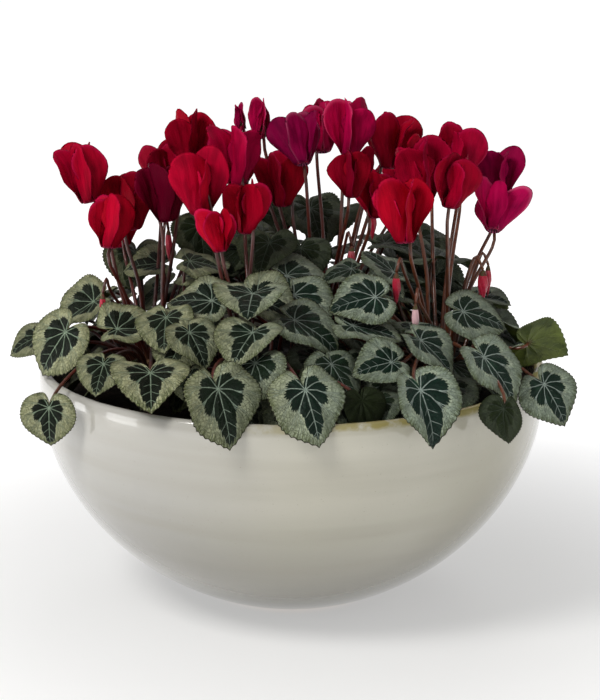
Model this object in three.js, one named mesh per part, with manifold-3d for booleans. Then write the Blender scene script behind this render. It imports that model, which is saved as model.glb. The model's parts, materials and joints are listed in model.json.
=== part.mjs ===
// A glazed bowl planted with small silver-leaved cyclamen in full bloom.
// Millimetres, +Z up. The origin is on the ground at the centre of the bowl's foot, and -Y is the front.
import * as THREE from 'three';
import { mergeVertices } from 'three/addons/utils/BufferGeometryUtils.js';
import Module from 'manifold-3d';

const wasm = await Module();
wasm.setup();

// The bowl
const RIM_R = 160; // outer radius where the wall is widest
const BOWL_H = 152; // from the ground to the rim
const BELLY_Z = 136; // the wall is widest here and nearly upright above
const RIM_IN = 1; // the wall leans in by this much at the rim
const FOOT_R = 50; // outer radius of the foot, which is flat
const FLOOR = 8;
const WALL = 6;
const RIM_ROUND = [20, 60, 120, 160]; // degrees around the rounded rim
const BELLY_POWER = 1.9; // 2 would make the side a true ellipse
const BOWL_SIDES = 40;
const BOWL_STEPS = 8; // rings of facets between the foot and the belly

// What fills the bowl
const SEAT_GAP = 0.3; // between pieces that touch
const SOIL_EDGE_Z = 136; // where the soil meets the wall
const SOIL_DOME_Z = 141; // the soil's middle
const SOIL_FLAT_R = 92; // it is nearly level out to here

// The tubers, which sit half out of the soil
const CORM_R = 19;
const CORM_HALF_H = 11;
const CORM_Z = 141;
const CORM_SIDES = 14;
const CORM_RINGS = 8;
const CORMS = {
  left: [-90, 0],
  front: [-22, -44],
  back: [22, 52],
  right: [94, -2],
};

// Stalks and stems
const STALK_R = 1.4; // of a leaf
const STEM_R = 1.3; // of a flower or a bud
const STALK_SIDES = 5;
const STALK_STEPS = 6;
const STEM_STEPS = 9;
const LEAF_RING_R = 13; // leaf stalks leave the crown on this ring
const FLOWER_RING_R = 6.5; // flower stems leave it inside the leaves
const FOOT_SPACING = 3.8; // between the feet of neighbours on a ring
const PUSH_PASSES = 60; // rounds in which crowded neighbours move apart
const FOOT_HANDLE = { share: 0.4, most: 36 }; // how far along its length a stalk grows straight at its foot
const END_HANDLE = { share: 0.3, most: 18 }; // and how far it runs straight into its blade

const FLAT_ARRIVAL = { along: 1, outOf: 1.7 }; // the way a stalk meets a level blade: along it and out of it
const STEEP_ARRIVAL = { along: 2, outOf: 0.5 }; // and one that hangs straight down

const FACET_DETAIL = 0.3; // facets that change a surface by less than this are joined
const SLIVER = 1; // cubic millimetres
const SAME_POINT = 1e-4; // corners nearer than this are one

// Leaf blades: the sizes are shares of the length from stalk to tip
const BLADE_THICK = 1.3;
const BLADE_SIDES = 14;
const BLADE_RINGS = 4;
const BLADE_DOME = 0.1; // the edge lies this much lower than the middle
const TIP_DROOP = 0.1;
const LOBE_REACH = 0.67; // the rounded sides of the heart
const TIP_SPAN = 24; // degrees either side of the midrib over which the tip stands out
const NOTCH_DEPTH = 0.57;
const NOTCH_SPAN = 16; // degrees either side of the stalk

// Flower heads: the sizes are shares of the height from mouth to petal tips
const PETALS = 5;
const FACETS_PER_PETAL = 4;
const COROLLA = [ // radius and height: from the mouth out, up to the petal tips and back down inside
  [0, 0.06],
  [0.12, -0.02],
  [0.27, 0.04],
  [0.3, 0.45],
  [0.4, 1],
  [0.25, 0.45],
  [0.2, 0.14],
  [0, 0.2],
];
const CLEFT_Z = 0.16; // the petals part above this height
const CLEFT_REST = 0.15; // what is left between them, as a share of their height
const PETAL_TWIST = 0.5; // radians from foot to tip
const LOBE_POWER = 0.6; // below 1 the petals are blunt
const HOOK_OUT = 0.19; // the stem passes the mouth at this distance
const STEM_HOOK = [ // the stem's way past the mouth, over between two petals and into the tube
  [HOOK_OUT, -0.3],
  [HOOK_OUT, 0.1],
  [HOOK_OUT / 2, 0.38],
  [0, 0.12],
];
const STEM_BEND = { share: 0.45, lift: 6 }; // where a stem bows most, and how far above a straight line

// Buds
const BUD_LENGTH = 21;
const BUD_R = 3.2;
const BUD_SIDES = 6;
const BUD_HOOK_R = 4.5;
const BUD_SET_IN = 2; // the stem's end inside the bud

// The point where the stalk meets the blade, the length from there to the tip, the way the tip points
// in plan, how far it droops, and how far the blade rolls about its midrib (degrees).
const LEAVES = [
  ['left', [-158, -15, 168], 23, 188, 18, -25],
  ['left', [-141, -105, 149], 26, -100, 78, 0],
  ['left', [-136, -58, 181], 32, -168, 50, -38],
  ['left', [-123, -20, 191], 30, -175, 25, -25],
  ['left', [-103, -76, 187], 30, 15, -4, 22],
  ['left', [-80, -125, 173], 32, -85, 18, 0],
  ['left', [-86, 40, 203], 27, 170, 0, -25],
  ['left', [-118, 78, 176], 32, 146, 30, 0],
  ['left', [-66, 128, 172], 32, 116, 38, 0],
  ['front', [-47, -75, 204], 31, 165, -3, -28],
  ['front', [-20, -63, 203], 31, -5, 22, 28],
  ['front', [-22, -110, 193], 30, -118, 20, 0],
  ['front', [-40, -163, 174], 36, -42, 66, 8],
  ['front', [8, -159, 172], 34, -50, 60, 10],
  ['front', [-3, -12, 206], 33, -10, 10, 25],
  ['back', [5, 144, 172], 33, 88, 40, 0],
  ['back', [24, 96, 202], 33, 80, 12, 0],
  ['right', [50, -60, 203], 30, -165, 4, -34],
  ['right', [58, -108, 175], 25, -165, 5, -34],
  ['right', [72, -151, 170], 34, -42, 58, 6],
  ['right', [112, -100, 176], 35, -25, 40, 10],
  ['right', [150, -82, 155], 29, -28, 50, 30],
  ['right', [145, -40, 170], 28, 22, 12, -60],
  ['right', [105, -38, 189], 31, 0, 12, 30],
  ['right', [122, 76, 174], 32, 32, 34, 0],
  ['right', [72, 126, 172], 33, 62, 38, 0],
];

// The mouth of each flower, its height, and how far its axis leans to the right (degrees).
const FLOWERS = [
  ['left', [-126, 0, 252], 37, -14],
  ['left', [-112, -28, 228], 31, 5],
  ['left', [-100, 14, 232], 33, -6],
  ['left', [-77, -5, 241], 37, -10],
  ['left', [-65, 42, 269], 33, -3],
  ['front', [-55, -40, 251], 38, -2],
  ['front', [-35, 22, 259], 36, -3],
  ['front', [-42, -62, 232], 25, -9],
  ['front', [-28, -22, 236], 30, 2],
  ['back', [-6, 55, 240], 34, -2],
  ['back', [7, 30, 271], 33, -9],
  ['back', [20, 72, 273], 34, -2],
  ['back', [37, 36, 276], 34, 0],
  ['back', [63, 62, 264], 34, -5],
  ['back', [38, -2, 255], 28, -3],
  ['back', [54, 28, 237], 30, -5],
  ['right', [68, -48, 235], 35, -2],
  ['right', [82, 0, 252], 38, -6],
  ['right', [106, 42, 258], 35, 4],
  ['right', [96, -34, 254], 32, 9],
  ['right', [136, 66, 242], 32, 6],
  ['right', [127, 8, 232], 31, 10],
];

// The top of each bud's hooked stem.
const BUDS = [
  ['left', [-112, -44, 211]],
  ['back', [36, 20, 228]],
  ['back', [48, 45, 247]],
  ['right', [66, -40, 223]],
  ['right', [75, -68, 210]],
  ['right', [115, -10, 218]],
];

const glaze = new THREE.MeshStandardMaterial({ color: 0xc9c6bc, roughness: 0.18 });
const peat = new THREE.MeshStandardMaterial({ color: 0x2a1f17, roughness: 0.95 });
const bark = new THREE.MeshStandardMaterial({ color: 0x5a4030, roughness: 0.9 });
const foliage = new THREE.MeshStandardMaterial({ color: 0x75866b, roughness: 0.6 });
const crimson = new THREE.MeshStandardMaterial({ color: 0xa3021c, roughness: 0.55 });

const point = (x, y, z) => new THREE.Vector3(x, y, z);
const turned = (degrees) => THREE.MathUtils.degToRad(degrees);
const two = (number) => String(number).padStart(2, '0');

// A closed surface as a solid that can be joined and cut.
function solid(geometry) {
  const bare = geometry.clone();
  bare.deleteAttribute('normal');
  bare.deleteAttribute('uv');
  const merged = mergeVertices(bare, SAME_POINT);
  return new wasm.Manifold(
    new wasm.Mesh({
      numProp: 3,
      vertProperties: new Float32Array(merged.attributes.position.array),
      triVerts: new Uint32Array(merged.index.array),
    }),
  );
}

// A solid as a named mesh, without facets too small to see or slivers left where its parts were joined.
function piece(name, manifold, material) {
  const bodies = manifold.simplify(FACET_DETAIL).decompose();
  const whole = bodies.filter((body) => body.volume() > SLIVER).reduce((sum, body) => sum.add(body));
  const { vertProperties, triVerts } = whole.getMesh();
  const geometry = new THREE.BufferGeometry();
  geometry.setAttribute('position', new THREE.BufferAttribute(vertProperties, 3));
  geometry.setIndex(new THREE.BufferAttribute(triVerts, 1));
  const mesh = new THREE.Mesh(geometry, material);
  mesh.name = name;
  return mesh;
}

// A profile of [radius, height] points turned about the Z axis.
function turnedSolid(profile, sides) {
  const outline = profile.map(([r, z]) => new THREE.Vector2(r, z));
  return solid(new THREE.LatheGeometry(outline, sides).rotateX(Math.PI / 2));
}

// A round rod along a curve.
function rod(curve, radius, steps) {
  const section = new THREE.Shape();
  for (let k = 0; k < STALK_SIDES; k++) {
    const angle = (2 * Math.PI * k) / STALK_SIDES;
    const corner = [radius * Math.cos(angle), radius * Math.sin(angle)];
    if (k === 0) section.moveTo(...corner);
    else section.lineTo(...corner);
  }
  section.closePath();
  return solid(new THREE.ExtrudeGeometry(section, { steps, extrudePath: curve, bevelEnabled: false }));
}

// The bowl's outer radius at a height, a little over an ellipse below the belly.
const belowBelly = FOOT_R / RIM_R;
const BELLY_DEPTH = BELLY_Z / (1 - belowBelly ** BELLY_POWER) ** (1 / BELLY_POWER);
function bowlRadius(z) {
  if (z > BELLY_Z) return RIM_R - RIM_IN * ((z - BELLY_Z) / (BOWL_H - BELLY_Z)) ** 2;
  return RIM_R * (1 - ((BELLY_Z - z) / BELLY_DEPTH) ** BELLY_POWER) ** (1 / BELLY_POWER);
}

// Heights from the foot to the rim, closer together where the side curves most.
const sideHeights = [];
for (let k = 0; k <= BOWL_STEPS; k++) {
  sideHeights.push(BELLY_Z * (1 - Math.cos((Math.PI / 2) * (k / BOWL_STEPS))));
}

function makeBowl() {
  const lip = WALL / 2;
  const outside = sideHeights.map((z) => [bowlRadius(z), z]);
  outside.push([bowlRadius(BOWL_H - lip), BOWL_H - lip]);
  const rimMiddle = bowlRadius(BOWL_H) - lip;
  const rim = RIM_ROUND.map((degrees) => [
    rimMiddle + lip * Math.cos(turned(degrees)),
    BOWL_H - lip + lip * Math.sin(turned(degrees)),
  ]);
  const inside = [[rimMiddle - lip, BOWL_H - lip], ...innerWall().reverse()];
  return turnedSolid([[0, 0], ...outside, ...rim, ...inside], BOWL_SIDES);
}

// The inner wall from the middle of the floor up to the belly.
function innerWall() {
  const wall = sideHeights.slice(1).map((z) => [bowlRadius(z) - WALL, z + FLOOR * (1 - z / BELLY_Z)]);
  return [[0, FLOOR], [FOOT_R - WALL, FLOOR], ...wall];
}

function cormBall([x, y], grown = 0) {
  const ball = new THREE.SphereGeometry(1, CORM_SIDES, CORM_RINGS).rotateX(Math.PI / 2);
  return ball.scale(CORM_R + grown, CORM_R + grown, CORM_HALF_H + grown).translate(x, y, CORM_Z);
}

function makeSoil() {
  const below = innerWall()
    .filter(([, z]) => z < SOIL_EDGE_Z - SEAT_GAP)
    .map(([r, z]) => [Math.max(0, r - 2 * SEAT_GAP), z + SEAT_GAP]);
  const edge = bowlRadius(SOIL_EDGE_Z) - WALL - 2 * SEAT_GAP;
  const top = [[edge, SOIL_EDGE_Z], [SOIL_FLAT_R, SOIL_DOME_Z - 1], [0, SOIL_DOME_Z]];
  const fill = turnedSolid([...below, ...top], BOWL_SIDES);
  return Object.values(CORMS).reduce((rest, at) => rest.subtract(solid(cormBall(at, SEAT_GAP))), fill);
}

// A stalk's foot on the crown of its tuber, and the way it grows from there: straight out of the skin.
function crownPoint(corm, ring, turn) {
  const [x, y] = CORMS[corm];
  const above = point(x + ring * Math.cos(turn), y + ring * Math.sin(turn), BOWL_H + CORM_R);
  const skin = new THREE.Mesh(cormBall(CORMS[corm]), bark);
  const [hit] = new THREE.Raycaster(above, point(0, 0, -1)).intersectObject(skin);
  return { foot: hit.point.addScaledVector(hit.face.normal, SEAT_GAP), away: hit.face.normal };
}

// The feet of all stalks of one ring. Each stands on the side that it leans to, and neighbours push apart.
function crownPoints(rows, ring) {
  const feet = [];
  const apart = FOOT_SPACING / ring;
  for (const corm of Object.keys(CORMS)) {
    const [x, y] = CORMS[corm];
    const turns = rows.map(([, at], index) => ({ index, turn: Math.atan2(at[1] - y, at[0] - x) }));
    const mine = turns.filter(({ index }) => rows[index][0] === corm).sort((a, b) => a.turn - b.turn);
    for (let pass = 0; pass < PUSH_PASSES; pass++) {
      mine.forEach((foot, k) => {
        const next = mine[(k + 1) % mine.length];
        const lap = k + 1 === mine.length ? 2 * Math.PI : 0;
        const short = apart - (next.turn + lap - foot.turn);
        if (short > 0) {
          foot.turn -= short / 2;
          next.turn += short / 2;
        }
      });
    }
    for (const { index, turn } of mine) feet[index] = crownPoint(corm, ring, turn);
  }
  return feet;
}

// The outline of a heart: how far its edge is from the stalk, as a share of the way to the tip.
function heartReach(angle) {
  const fromTip = Math.abs(THREE.MathUtils.radToDeg(angle));
  const tip = (1 - LOBE_REACH) * Math.exp(-((fromTip / TIP_SPAN) ** 1.2));
  const notch = NOTCH_DEPTH * Math.exp(-(((180 - fromTip) / NOTCH_SPAN) ** 2));
  return LOBE_REACH + tip - notch;
}

// A blade's own axes: along the midrib, across, and up out of its face.
function bladeAxes(heading, droop, roll) {
  const [h, d, r] = [heading, droop, roll].map(turned);
  const midrib = point(Math.cos(d) * Math.cos(h), Math.cos(d) * Math.sin(h), -Math.sin(d));
  const level = point(-Math.sin(h), Math.cos(h), 0);
  const upright = midrib.clone().cross(level);
  const across = level.clone().multiplyScalar(Math.cos(r)).addScaledVector(upright, Math.sin(r));
  return { midrib, across, face: midrib.clone().cross(across) };
}

// A leaf: a ball pressed flat and drawn out to a heart, on its stalk.
function makeLeaf([, at, length, heading, droop, roll], { foot, away }) {
  const { midrib, across, face } = bladeAxes(heading, droop, roll);
  const joint = point(...at);
  const blade = new THREE.SphereGeometry(1, BLADE_SIDES, BLADE_RINGS).rotateX(Math.PI / 2);
  const places = blade.attributes.position;
  for (let k = 0; k < places.count; k++) {
    const [x, y, z] = [places.getX(k), places.getY(k), places.getZ(k)];
    const angle = Math.atan2(y, x);
    const reach = Math.hypot(x, y) * heartReach(angle);
    const forward = reach * Math.cos(angle);
    const sag = BLADE_DOME * reach ** 2 + TIP_DROOP * Math.max(0, forward) ** 2;
    const place = joint.clone().addScaledVector(midrib, length * forward);
    place.addScaledVector(across, length * reach * Math.sin(angle));
    place.addScaledVector(face, (z * BLADE_THICK) / 2 - length * sag);
    places.setXYZ(k, place.x, place.y, place.z);
  }
  const steep = Math.max(0, droop / 90);
  const along = FLAT_ARRIVAL.along + (STEEP_ARRIVAL.along - FLAT_ARRIVAL.along) * steep;
  const outOf = FLAT_ARRIVAL.outOf + (STEEP_ARRIVAL.outOf - FLAT_ARRIVAL.outOf) * steep;
  const arrival = midrib.clone().multiplyScalar(along).addScaledVector(face, outOf).normalize();
  const span = joint.distanceTo(foot);
  const handle = ({ share, most }) => Math.min(most, share * span);
  const start = foot.clone().addScaledVector(away, handle(FOOT_HANDLE));
  const end = joint.clone().addScaledVector(arrival, -handle(END_HANDLE));
  const stalk = new THREE.CubicBezierCurve3(foot, start, end, joint);
  return solid(blade).add(rod(stalk, STALK_R, STALK_STEPS));
}

// Five petals and the short tube that joins them: a cup parted into lobes, with a cleft on its +X side.
function makeCorolla(height, frame) {
  const outline = COROLLA.map(([r, z]) => new THREE.Vector2(r * height, z * height));
  const cup = new THREE.LatheGeometry(outline, PETALS * FACETS_PER_PETAL).rotateX(Math.PI / 2);
  const corners = cup.attributes.position;
  for (let k = 0; k < corners.count; k++) {
    const corner = point(corners.getX(k), corners.getY(k), corners.getZ(k));
    const rise = Math.max(0, corner.z / height - CLEFT_Z);
    const lobe = Math.abs(Math.sin((PETALS / 2) * Math.atan2(corner.y, corner.x))) ** LOBE_POWER;
    corner.z -= height * rise * (1 - CLEFT_REST) * (1 - lobe);
    corner.applyAxisAngle(point(0, 0, 1), PETAL_TWIST * rise).applyMatrix4(frame);
    corners.setXYZ(k, corner.x, corner.y, corner.z);
  }
  return solid(cup);
}

// Where a stem has got to when it turns upwards.
const grown = (foot, away) => foot.clone().addScaledVector(away, 4 * STEM_R);

// Where a stem bows most on its way up.
const bowed = (foot, end) => foot.clone().lerp(end, STEM_BEND.share).add(point(0, 0, STEM_BEND.lift));

// A flower: swept-back petals, nodding from a hooked stem that passes between two of them.
function makeFlower([, at, height, lean], { foot, away }) {
  const mouth = point(...at);
  const axis = point(Math.sin(turned(lean)), 0, Math.cos(turned(lean)));
  const inward = foot.clone().sub(mouth);
  const side = inward.addScaledVector(axis, -inward.dot(axis)).normalize();
  const frame = new THREE.Matrix4().makeBasis(side, axis.clone().cross(side), axis).setPosition(mouth);
  const near = (out, up) => point(out * height, 0, up * height).applyMatrix4(frame);
  const hook = STEM_HOOK.map(([out, up]) => near(out, up));
  const stem = new THREE.CatmullRomCurve3([foot, grown(foot, away), bowed(foot, mouth), ...hook]);
  return makeCorolla(height, frame).add(rod(stem, STEM_R, STEM_STEPS));
}

// A bud: a pointed spindle that hangs from its hooked stem.
function makeBud([, at], { foot, away }) {
  const top = point(...at);
  const outward = point(top.x - foot.x, top.y - foot.y, 0).normalize();
  const stemSide = top.clone().addScaledVector(outward, -BUD_HOOK_R);
  const budSide = top.clone().addScaledVector(outward, BUD_HOOK_R);
  const low = (place, drop) => place.clone().setZ(place.z - drop);
  const hook = [low(stemSide, 2 * BUD_HOOK_R), top, low(budSide, 2 * BUD_HOOK_R)];
  const stem = new THREE.CatmullRomCurve3([foot, grown(foot, away), bowed(foot, hook[0]), ...hook]);
  const spindle = new THREE.SphereGeometry(1, BUD_SIDES, BUD_SIDES).rotateX(Math.PI / 2);
  spindle.scale(BUD_R, BUD_R, BUD_LENGTH / 2);
  const centre = low(hook[2], BUD_LENGTH / 2 - BUD_SET_IN);
  return rod(stem, STEM_R, STEM_STEPS).add(solid(spindle.translate(centre.x, centre.y, centre.z)));
}

const cyclamen = new THREE.Group();
cyclamen.add(piece('bowl', makeBowl(), glaze));
cyclamen.add(piece('soil', makeSoil(), peat));
for (const [corm, at] of Object.entries(CORMS)) {
  cyclamen.add(piece(`tuber_${corm}`, solid(cormBall(at)), bark));
}
const leafFeet = crownPoints(LEAVES, LEAF_RING_R);
LEAVES.forEach((row, k) => cyclamen.add(piece(`leaf_${two(k + 1)}`, makeLeaf(row, leafFeet[k]), foliage)));
const blooms = [...FLOWERS, ...BUDS];
const bloomFeet = crownPoints(blooms, FLOWER_RING_R);
blooms.forEach((row, k) => {
  const isBud = k >= FLOWERS.length;
  const name = isBud ? `bud_${two(k - FLOWERS.length + 1)}` : `flower_${two(k + 1)}`;
  const shape = isBud ? makeBud(row, bloomFeet[k]) : makeFlower(row, bloomFeet[k]);
  cyclamen.add(piece(name, shape, crimson));
});

export default cyclamen;
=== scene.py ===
"""A wide glazed bowl planted with silver-leaved cyclamen in full bloom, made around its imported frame.

Blender's lengths are metres. The tables of leaves and flowers are in millimetres, like the frame's source.
+Z is up, the origin is on the ground under the middle of the bowl, and -Y is the front.
"""

import json
import math
import random
from collections import namedtuple
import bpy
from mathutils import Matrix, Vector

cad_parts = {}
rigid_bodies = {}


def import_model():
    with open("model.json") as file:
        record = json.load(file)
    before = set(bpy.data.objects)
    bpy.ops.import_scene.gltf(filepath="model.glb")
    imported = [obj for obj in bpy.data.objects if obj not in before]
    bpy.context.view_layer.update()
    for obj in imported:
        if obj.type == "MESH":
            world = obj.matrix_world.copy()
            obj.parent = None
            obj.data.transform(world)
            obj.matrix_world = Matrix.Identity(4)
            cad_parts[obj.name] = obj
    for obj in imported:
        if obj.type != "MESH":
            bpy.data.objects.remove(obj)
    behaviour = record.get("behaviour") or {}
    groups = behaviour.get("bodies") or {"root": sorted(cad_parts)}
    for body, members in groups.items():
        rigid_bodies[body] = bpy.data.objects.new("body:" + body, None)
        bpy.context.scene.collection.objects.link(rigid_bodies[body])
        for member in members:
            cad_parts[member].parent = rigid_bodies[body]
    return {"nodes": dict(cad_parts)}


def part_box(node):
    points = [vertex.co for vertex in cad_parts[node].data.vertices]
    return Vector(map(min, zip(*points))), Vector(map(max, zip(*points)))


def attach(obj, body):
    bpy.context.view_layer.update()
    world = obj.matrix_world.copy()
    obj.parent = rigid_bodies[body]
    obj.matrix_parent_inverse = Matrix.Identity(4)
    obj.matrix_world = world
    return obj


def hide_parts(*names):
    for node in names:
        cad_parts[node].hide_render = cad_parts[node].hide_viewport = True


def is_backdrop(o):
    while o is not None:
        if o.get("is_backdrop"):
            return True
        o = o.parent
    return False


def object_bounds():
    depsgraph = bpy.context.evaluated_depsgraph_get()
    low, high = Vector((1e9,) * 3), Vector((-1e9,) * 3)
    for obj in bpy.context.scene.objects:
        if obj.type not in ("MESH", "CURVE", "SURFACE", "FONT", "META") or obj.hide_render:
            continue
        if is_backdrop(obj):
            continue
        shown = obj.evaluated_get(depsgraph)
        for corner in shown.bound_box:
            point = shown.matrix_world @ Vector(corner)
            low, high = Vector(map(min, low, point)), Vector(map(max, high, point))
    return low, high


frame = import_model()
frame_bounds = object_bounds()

from types import SimpleNamespace

import bmesh
import bpy
import numpy as np
from mathutils import Euler, Matrix, Vector, noise
from mathutils.bvhtree import BVHTree
from mathutils.geometry import interpolate_bezier

bl_info = {
    "name": "Potted Cyclamen",
    "version": (1, 0, 0),
    "blender": (4, 5, 0),
    "location": "View3D > Sidebar > Cyclamen",
    "description": "Makes a glazed bowl planted with silver-leaved cyclamen in bloom",
    "category": "Add Mesh",
}

MM = 0.001
TURN = 2 * math.pi
FINISH_PREFIX = "cyclamen_"


def ball(node):
    """The middle of a round node of the frame, its radius and half its height."""
    low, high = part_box(node)
    return (low + high) / 2, (high.x - low.x) / 2, (high.z - low.z) / 2


# What the frame gives: the bowl, the soil, and the tubers that the plants grow from
BOWL_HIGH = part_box("bowl")[1]
RIM_R, BOWL_H = BOWL_HIGH.x, BOWL_HIGH.z
SOIL_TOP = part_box("soil")[1].z - 1 * MM
TUBERS = {node.removeprefix("tuber_"): ball(node) for node in sorted(frame["nodes"]) if "tuber_" in node}

# The bowl's side, as in the frame's source
BELLY_Z = 136 * MM
RIM_IN = 1 * MM
FOOT_R = 50 * MM
FLOOR = 8 * MM
BELLY_POWER = 1.9

# The underside of the foot, in millimetres: how far in from its edge, and how high
FOOT_SECTION = [(9, 1.6), (8, 0.4), (7, 0), (1, 0), (-1, 0.5)]

# The divisions of the bowl's section: steps up to the belly, heights above it, and degrees round the rim
BELLY_STEPS = 30
UPPER_SIDE = (140 * MM, 144 * MM)
RIM_BENDS = range(15, 181, 15)

# The radius from which the bowl's side is uneven, and the unevenness of the side, the rim and the soil, as
# waves to the metre and their height
EVEN_R = 1.1 * FOOT_R
SIDE_WAVES = [(9, 0.35 * MM), (30, 0.12 * MM)]
RIM_WAVES = [(22, 0.7 * MM)]
SOIL_WAVES = [(70, 1.2 * MM), (210, 0.8 * MM)]

# The soil: its height at the wall, the radius from which it falls to that, its gaps to the wall at the top
# and below, the steps of its side, its gap to a tuber, and how far the crumbs stay from its edge and from
# the axis of a tuber
SOIL_EDGE_Z = 136 * MM
SOIL_FLAT_R = 92 * MM
SOIL_GAP = 0.6 * MM
SOIL_LOWER_GAP = 2.4 * MM
SOIL_STEP, SOIL_STEPS = 14 * MM, 8
TUBER_DISH = 0.5 * MM
CRUMB_INSET = 3 * MM
CRUMB_CLEARANCE = 21 * MM

# Stalks and stems, as in the frame's source: the rings that they stand on round the axis of their tuber, how
# far apart, how far a stalk grows straight at its foot and its end (a share of its way, and the most), and
# the way it meets a level blade and a hanging one (along it and out of it)
LEAF_RING = 13 * MM
FLOWER_RING = 6.5 * MM
FOOT_SPACING = 3.8 * MM
PUSH_PASSES = 60
FOOT_HANDLE = (0.4, 36 * MM)
END_HANDLE = (0.3, 18 * MM)
FLAT_ARRIVAL = (1, 1.7)
STEEP_ARRIVAL = (2, 0.5)

# The rings of the leaves and flowers that the frame doesn't hold, how deep a foot goes into its tuber, how
# far under its blade a stalk ends, and over how many of its radii a stem grows straight from its foot
SPARE_LEAF_RING = 16 * MM
SPARE_FLOWER_RING = 9 * MM
FOOT_DEPTH = 1 * MM
STALK_TUCK = 0.5 * MM
STRAIGHT_RADII = 4

# Where a stem bows on its way, as a share of it, and how far up
BOW_SHARE = 0.45
BOW_RISE = 6 * MM

# The share of its radius that a stalk has at its foot and at its end
LEAF_TAPER = (1, 0.65)
FLOWER_TAPER = (1.05, 0.8)
BUD_TAPER = (1, 0.7)

# How finely the pieces are made: sectors, or rings and sectors, and the sides, points or steps of a stalk
BOWL_SECTORS = 160
SOIL_DIVISIONS = (40, 150)
TUBER_DIVISIONS = (32, 56)
BUD_DIVISIONS = (26, 30)
THROAT_SECTORS = 30
PETAL_DIVISIONS = (8, 34)
LEAF_DIVISIONS = (12, 144)
SPARE_LEAF_DIVISIONS = (9, 104)
TEST_DIVISIONS = (4, 40)
ROD_SIDES = 8
STALK_POINTS = 15
FLOWER_STEM_STEPS = 26
BUD_STEM_STEPS = 24

# Where chance starts for the crumbs, the spare leaves and each leaf's habit
CRUMB_SEED = 7
SPARE_SEED = 11
HABIT_SEED = 100

# The outline of a blade, as shares of the length from its stalk to its tip
LOBE_REACH = 0.72
LOBE_FALL = 0.33
TIP_REACH = 0.94
TIP_SPAN = 22
NOTCH_DEPTH = 0.28
NOTCH_SPAN = 14
BLADE_SPREAD = 1.09

# The form of a blade in the same shares: its dome and drooping tip, the softness of its fold, the
# turned-down edge, and the grooves over its veins
BLADE_DOME = 0.1
TIP_DROOP = 0.1
FOLD_SOFTNESS = 0.04
EDGE_DROP = 0.03
GROOVE_DEPTH = 0.011
GROOVE_WIDTH = 0.03

# The veins: the angle between two, how far they bend to the tip, and the gap between the midrib's branches
VEIN_GAP = 0.68
VEIN_BEND = 0.55
BRANCH_GAP = 0.19

# Finding room for a leaf: how the names of what stands already begin, the thickness it is tested with, how
# often it is moved, and how far at most (millimetres and degrees)
STANDING = ("glazed", "bloom", "nodding", "silver")
TEST_THICKNESS = 1.7 * MM
SEAT_TRIALS = 160
SEAT_REACH = 13
SEAT_TURN = 50

# The canopy that the spare leaves fill, in millimetres: its radius, its top and how fast it falls outwards
SPARE_TRIALS = 5000
CANOPY_R = 150
CANOPY_TOP = 206
CANOPY_FALL = 0.0019
LOWER_LAYER = 20

# How many petals a flower has
PETALS = 5

# The line down the middle of a petal, as radius and height: from inside the mouth, round the lip, to the tip
PETAL_LINE = [(0.085, 0.06), (0.11, -0.03), (0.155, 0.0), (0.18, 0.15), (0.195, 0.4), (0.2, 0.7), (0.22, 1.0)]

# The mouth's section: from the floor of the tube out, round the rolled lip and up to where the calyx sits
THROAT = [
    (0, 0.15),
    (0.05, 0.14),
    (0.066, 0.06),
    (0.075, 0.0),
    (0.088, -0.032),
    (0.108, -0.042),
    (0.127, -0.024),
    (0.125, 0.02),
    (0.108, 0.08),
    (0.1, 0.15),
    (0.08, 0.205),
    (0, 0.22),
]
LIP_R = 0.127
OUTER_R, OUTER_LOW = 0.097, -0.03
CALYX_LOW = 0.16
STYLE = {"radius1": 0.004, "radius2": 0.025, "depth": 0.18}
STYLE_Z = 0.06

# How much taller a flower is than its table says, and the hook at the top of its stem, as shares of that
# height: out from the flower's axis, and up
FLOWER_GROWTH = 1.04
HOOK = [(0.18, -0.3), (0.175, 0.05), (0.1, 0.33), (0, 0.21)]

# A bud: its length, its calyx, half the width of its stem's hook, and its radius shut and open
BUD_LENGTH = 21 * MM
BUD_CALYX = 3.4 * MM
BUD_HOOK = 4.5 * MM
BUD_R, BUD_OPENING = 2.1 * MM, 2.0 * MM

# How far the camera looks down, half the floor's width in metres, and how far under the foot it lies
LOOK_DOWN = math.radians(14)
FLOOR_REACH = 10
FLOOR_DROP = 0.3 * MM

# The studio's lamps: place and size in metres, watts and colour, and the place that they all light
LIT_PLACE = (0, 0, 0.19)
LAMPS = {
    "key": ((-0.75, -0.85, 1.3), (0.5, 0.5), 15.5, (1, 0.985, 0.96)),
    "fill": ((1.2, -0.9, 0.9), (0.8, 0.8), 1.4, (1, 0.97, 0.92)),
    "back": ((0.3, 1.3, 1.1), (0.8, 0.6), 3, (1, 1, 1)),
    "window": ((-0.85, -0.27, 0.15), (0.24, 0.28), 0.72, (1, 1, 1)),
    "pane": ((-0.88, 0.1, 0.13), (0.12, 0.24), 0.3, (1, 1, 1)),
}
SKY_STRENGTH = 0.34

# The rows of the tables that follow
Leaf = namedtuple("Leaf", "tuber at length heading droop roll shade")
Flower = namedtuple("Flower", "tuber at height lean spin splay tint shade")
Bud = namedtuple("Bud", "tuber at opened pale")

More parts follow.
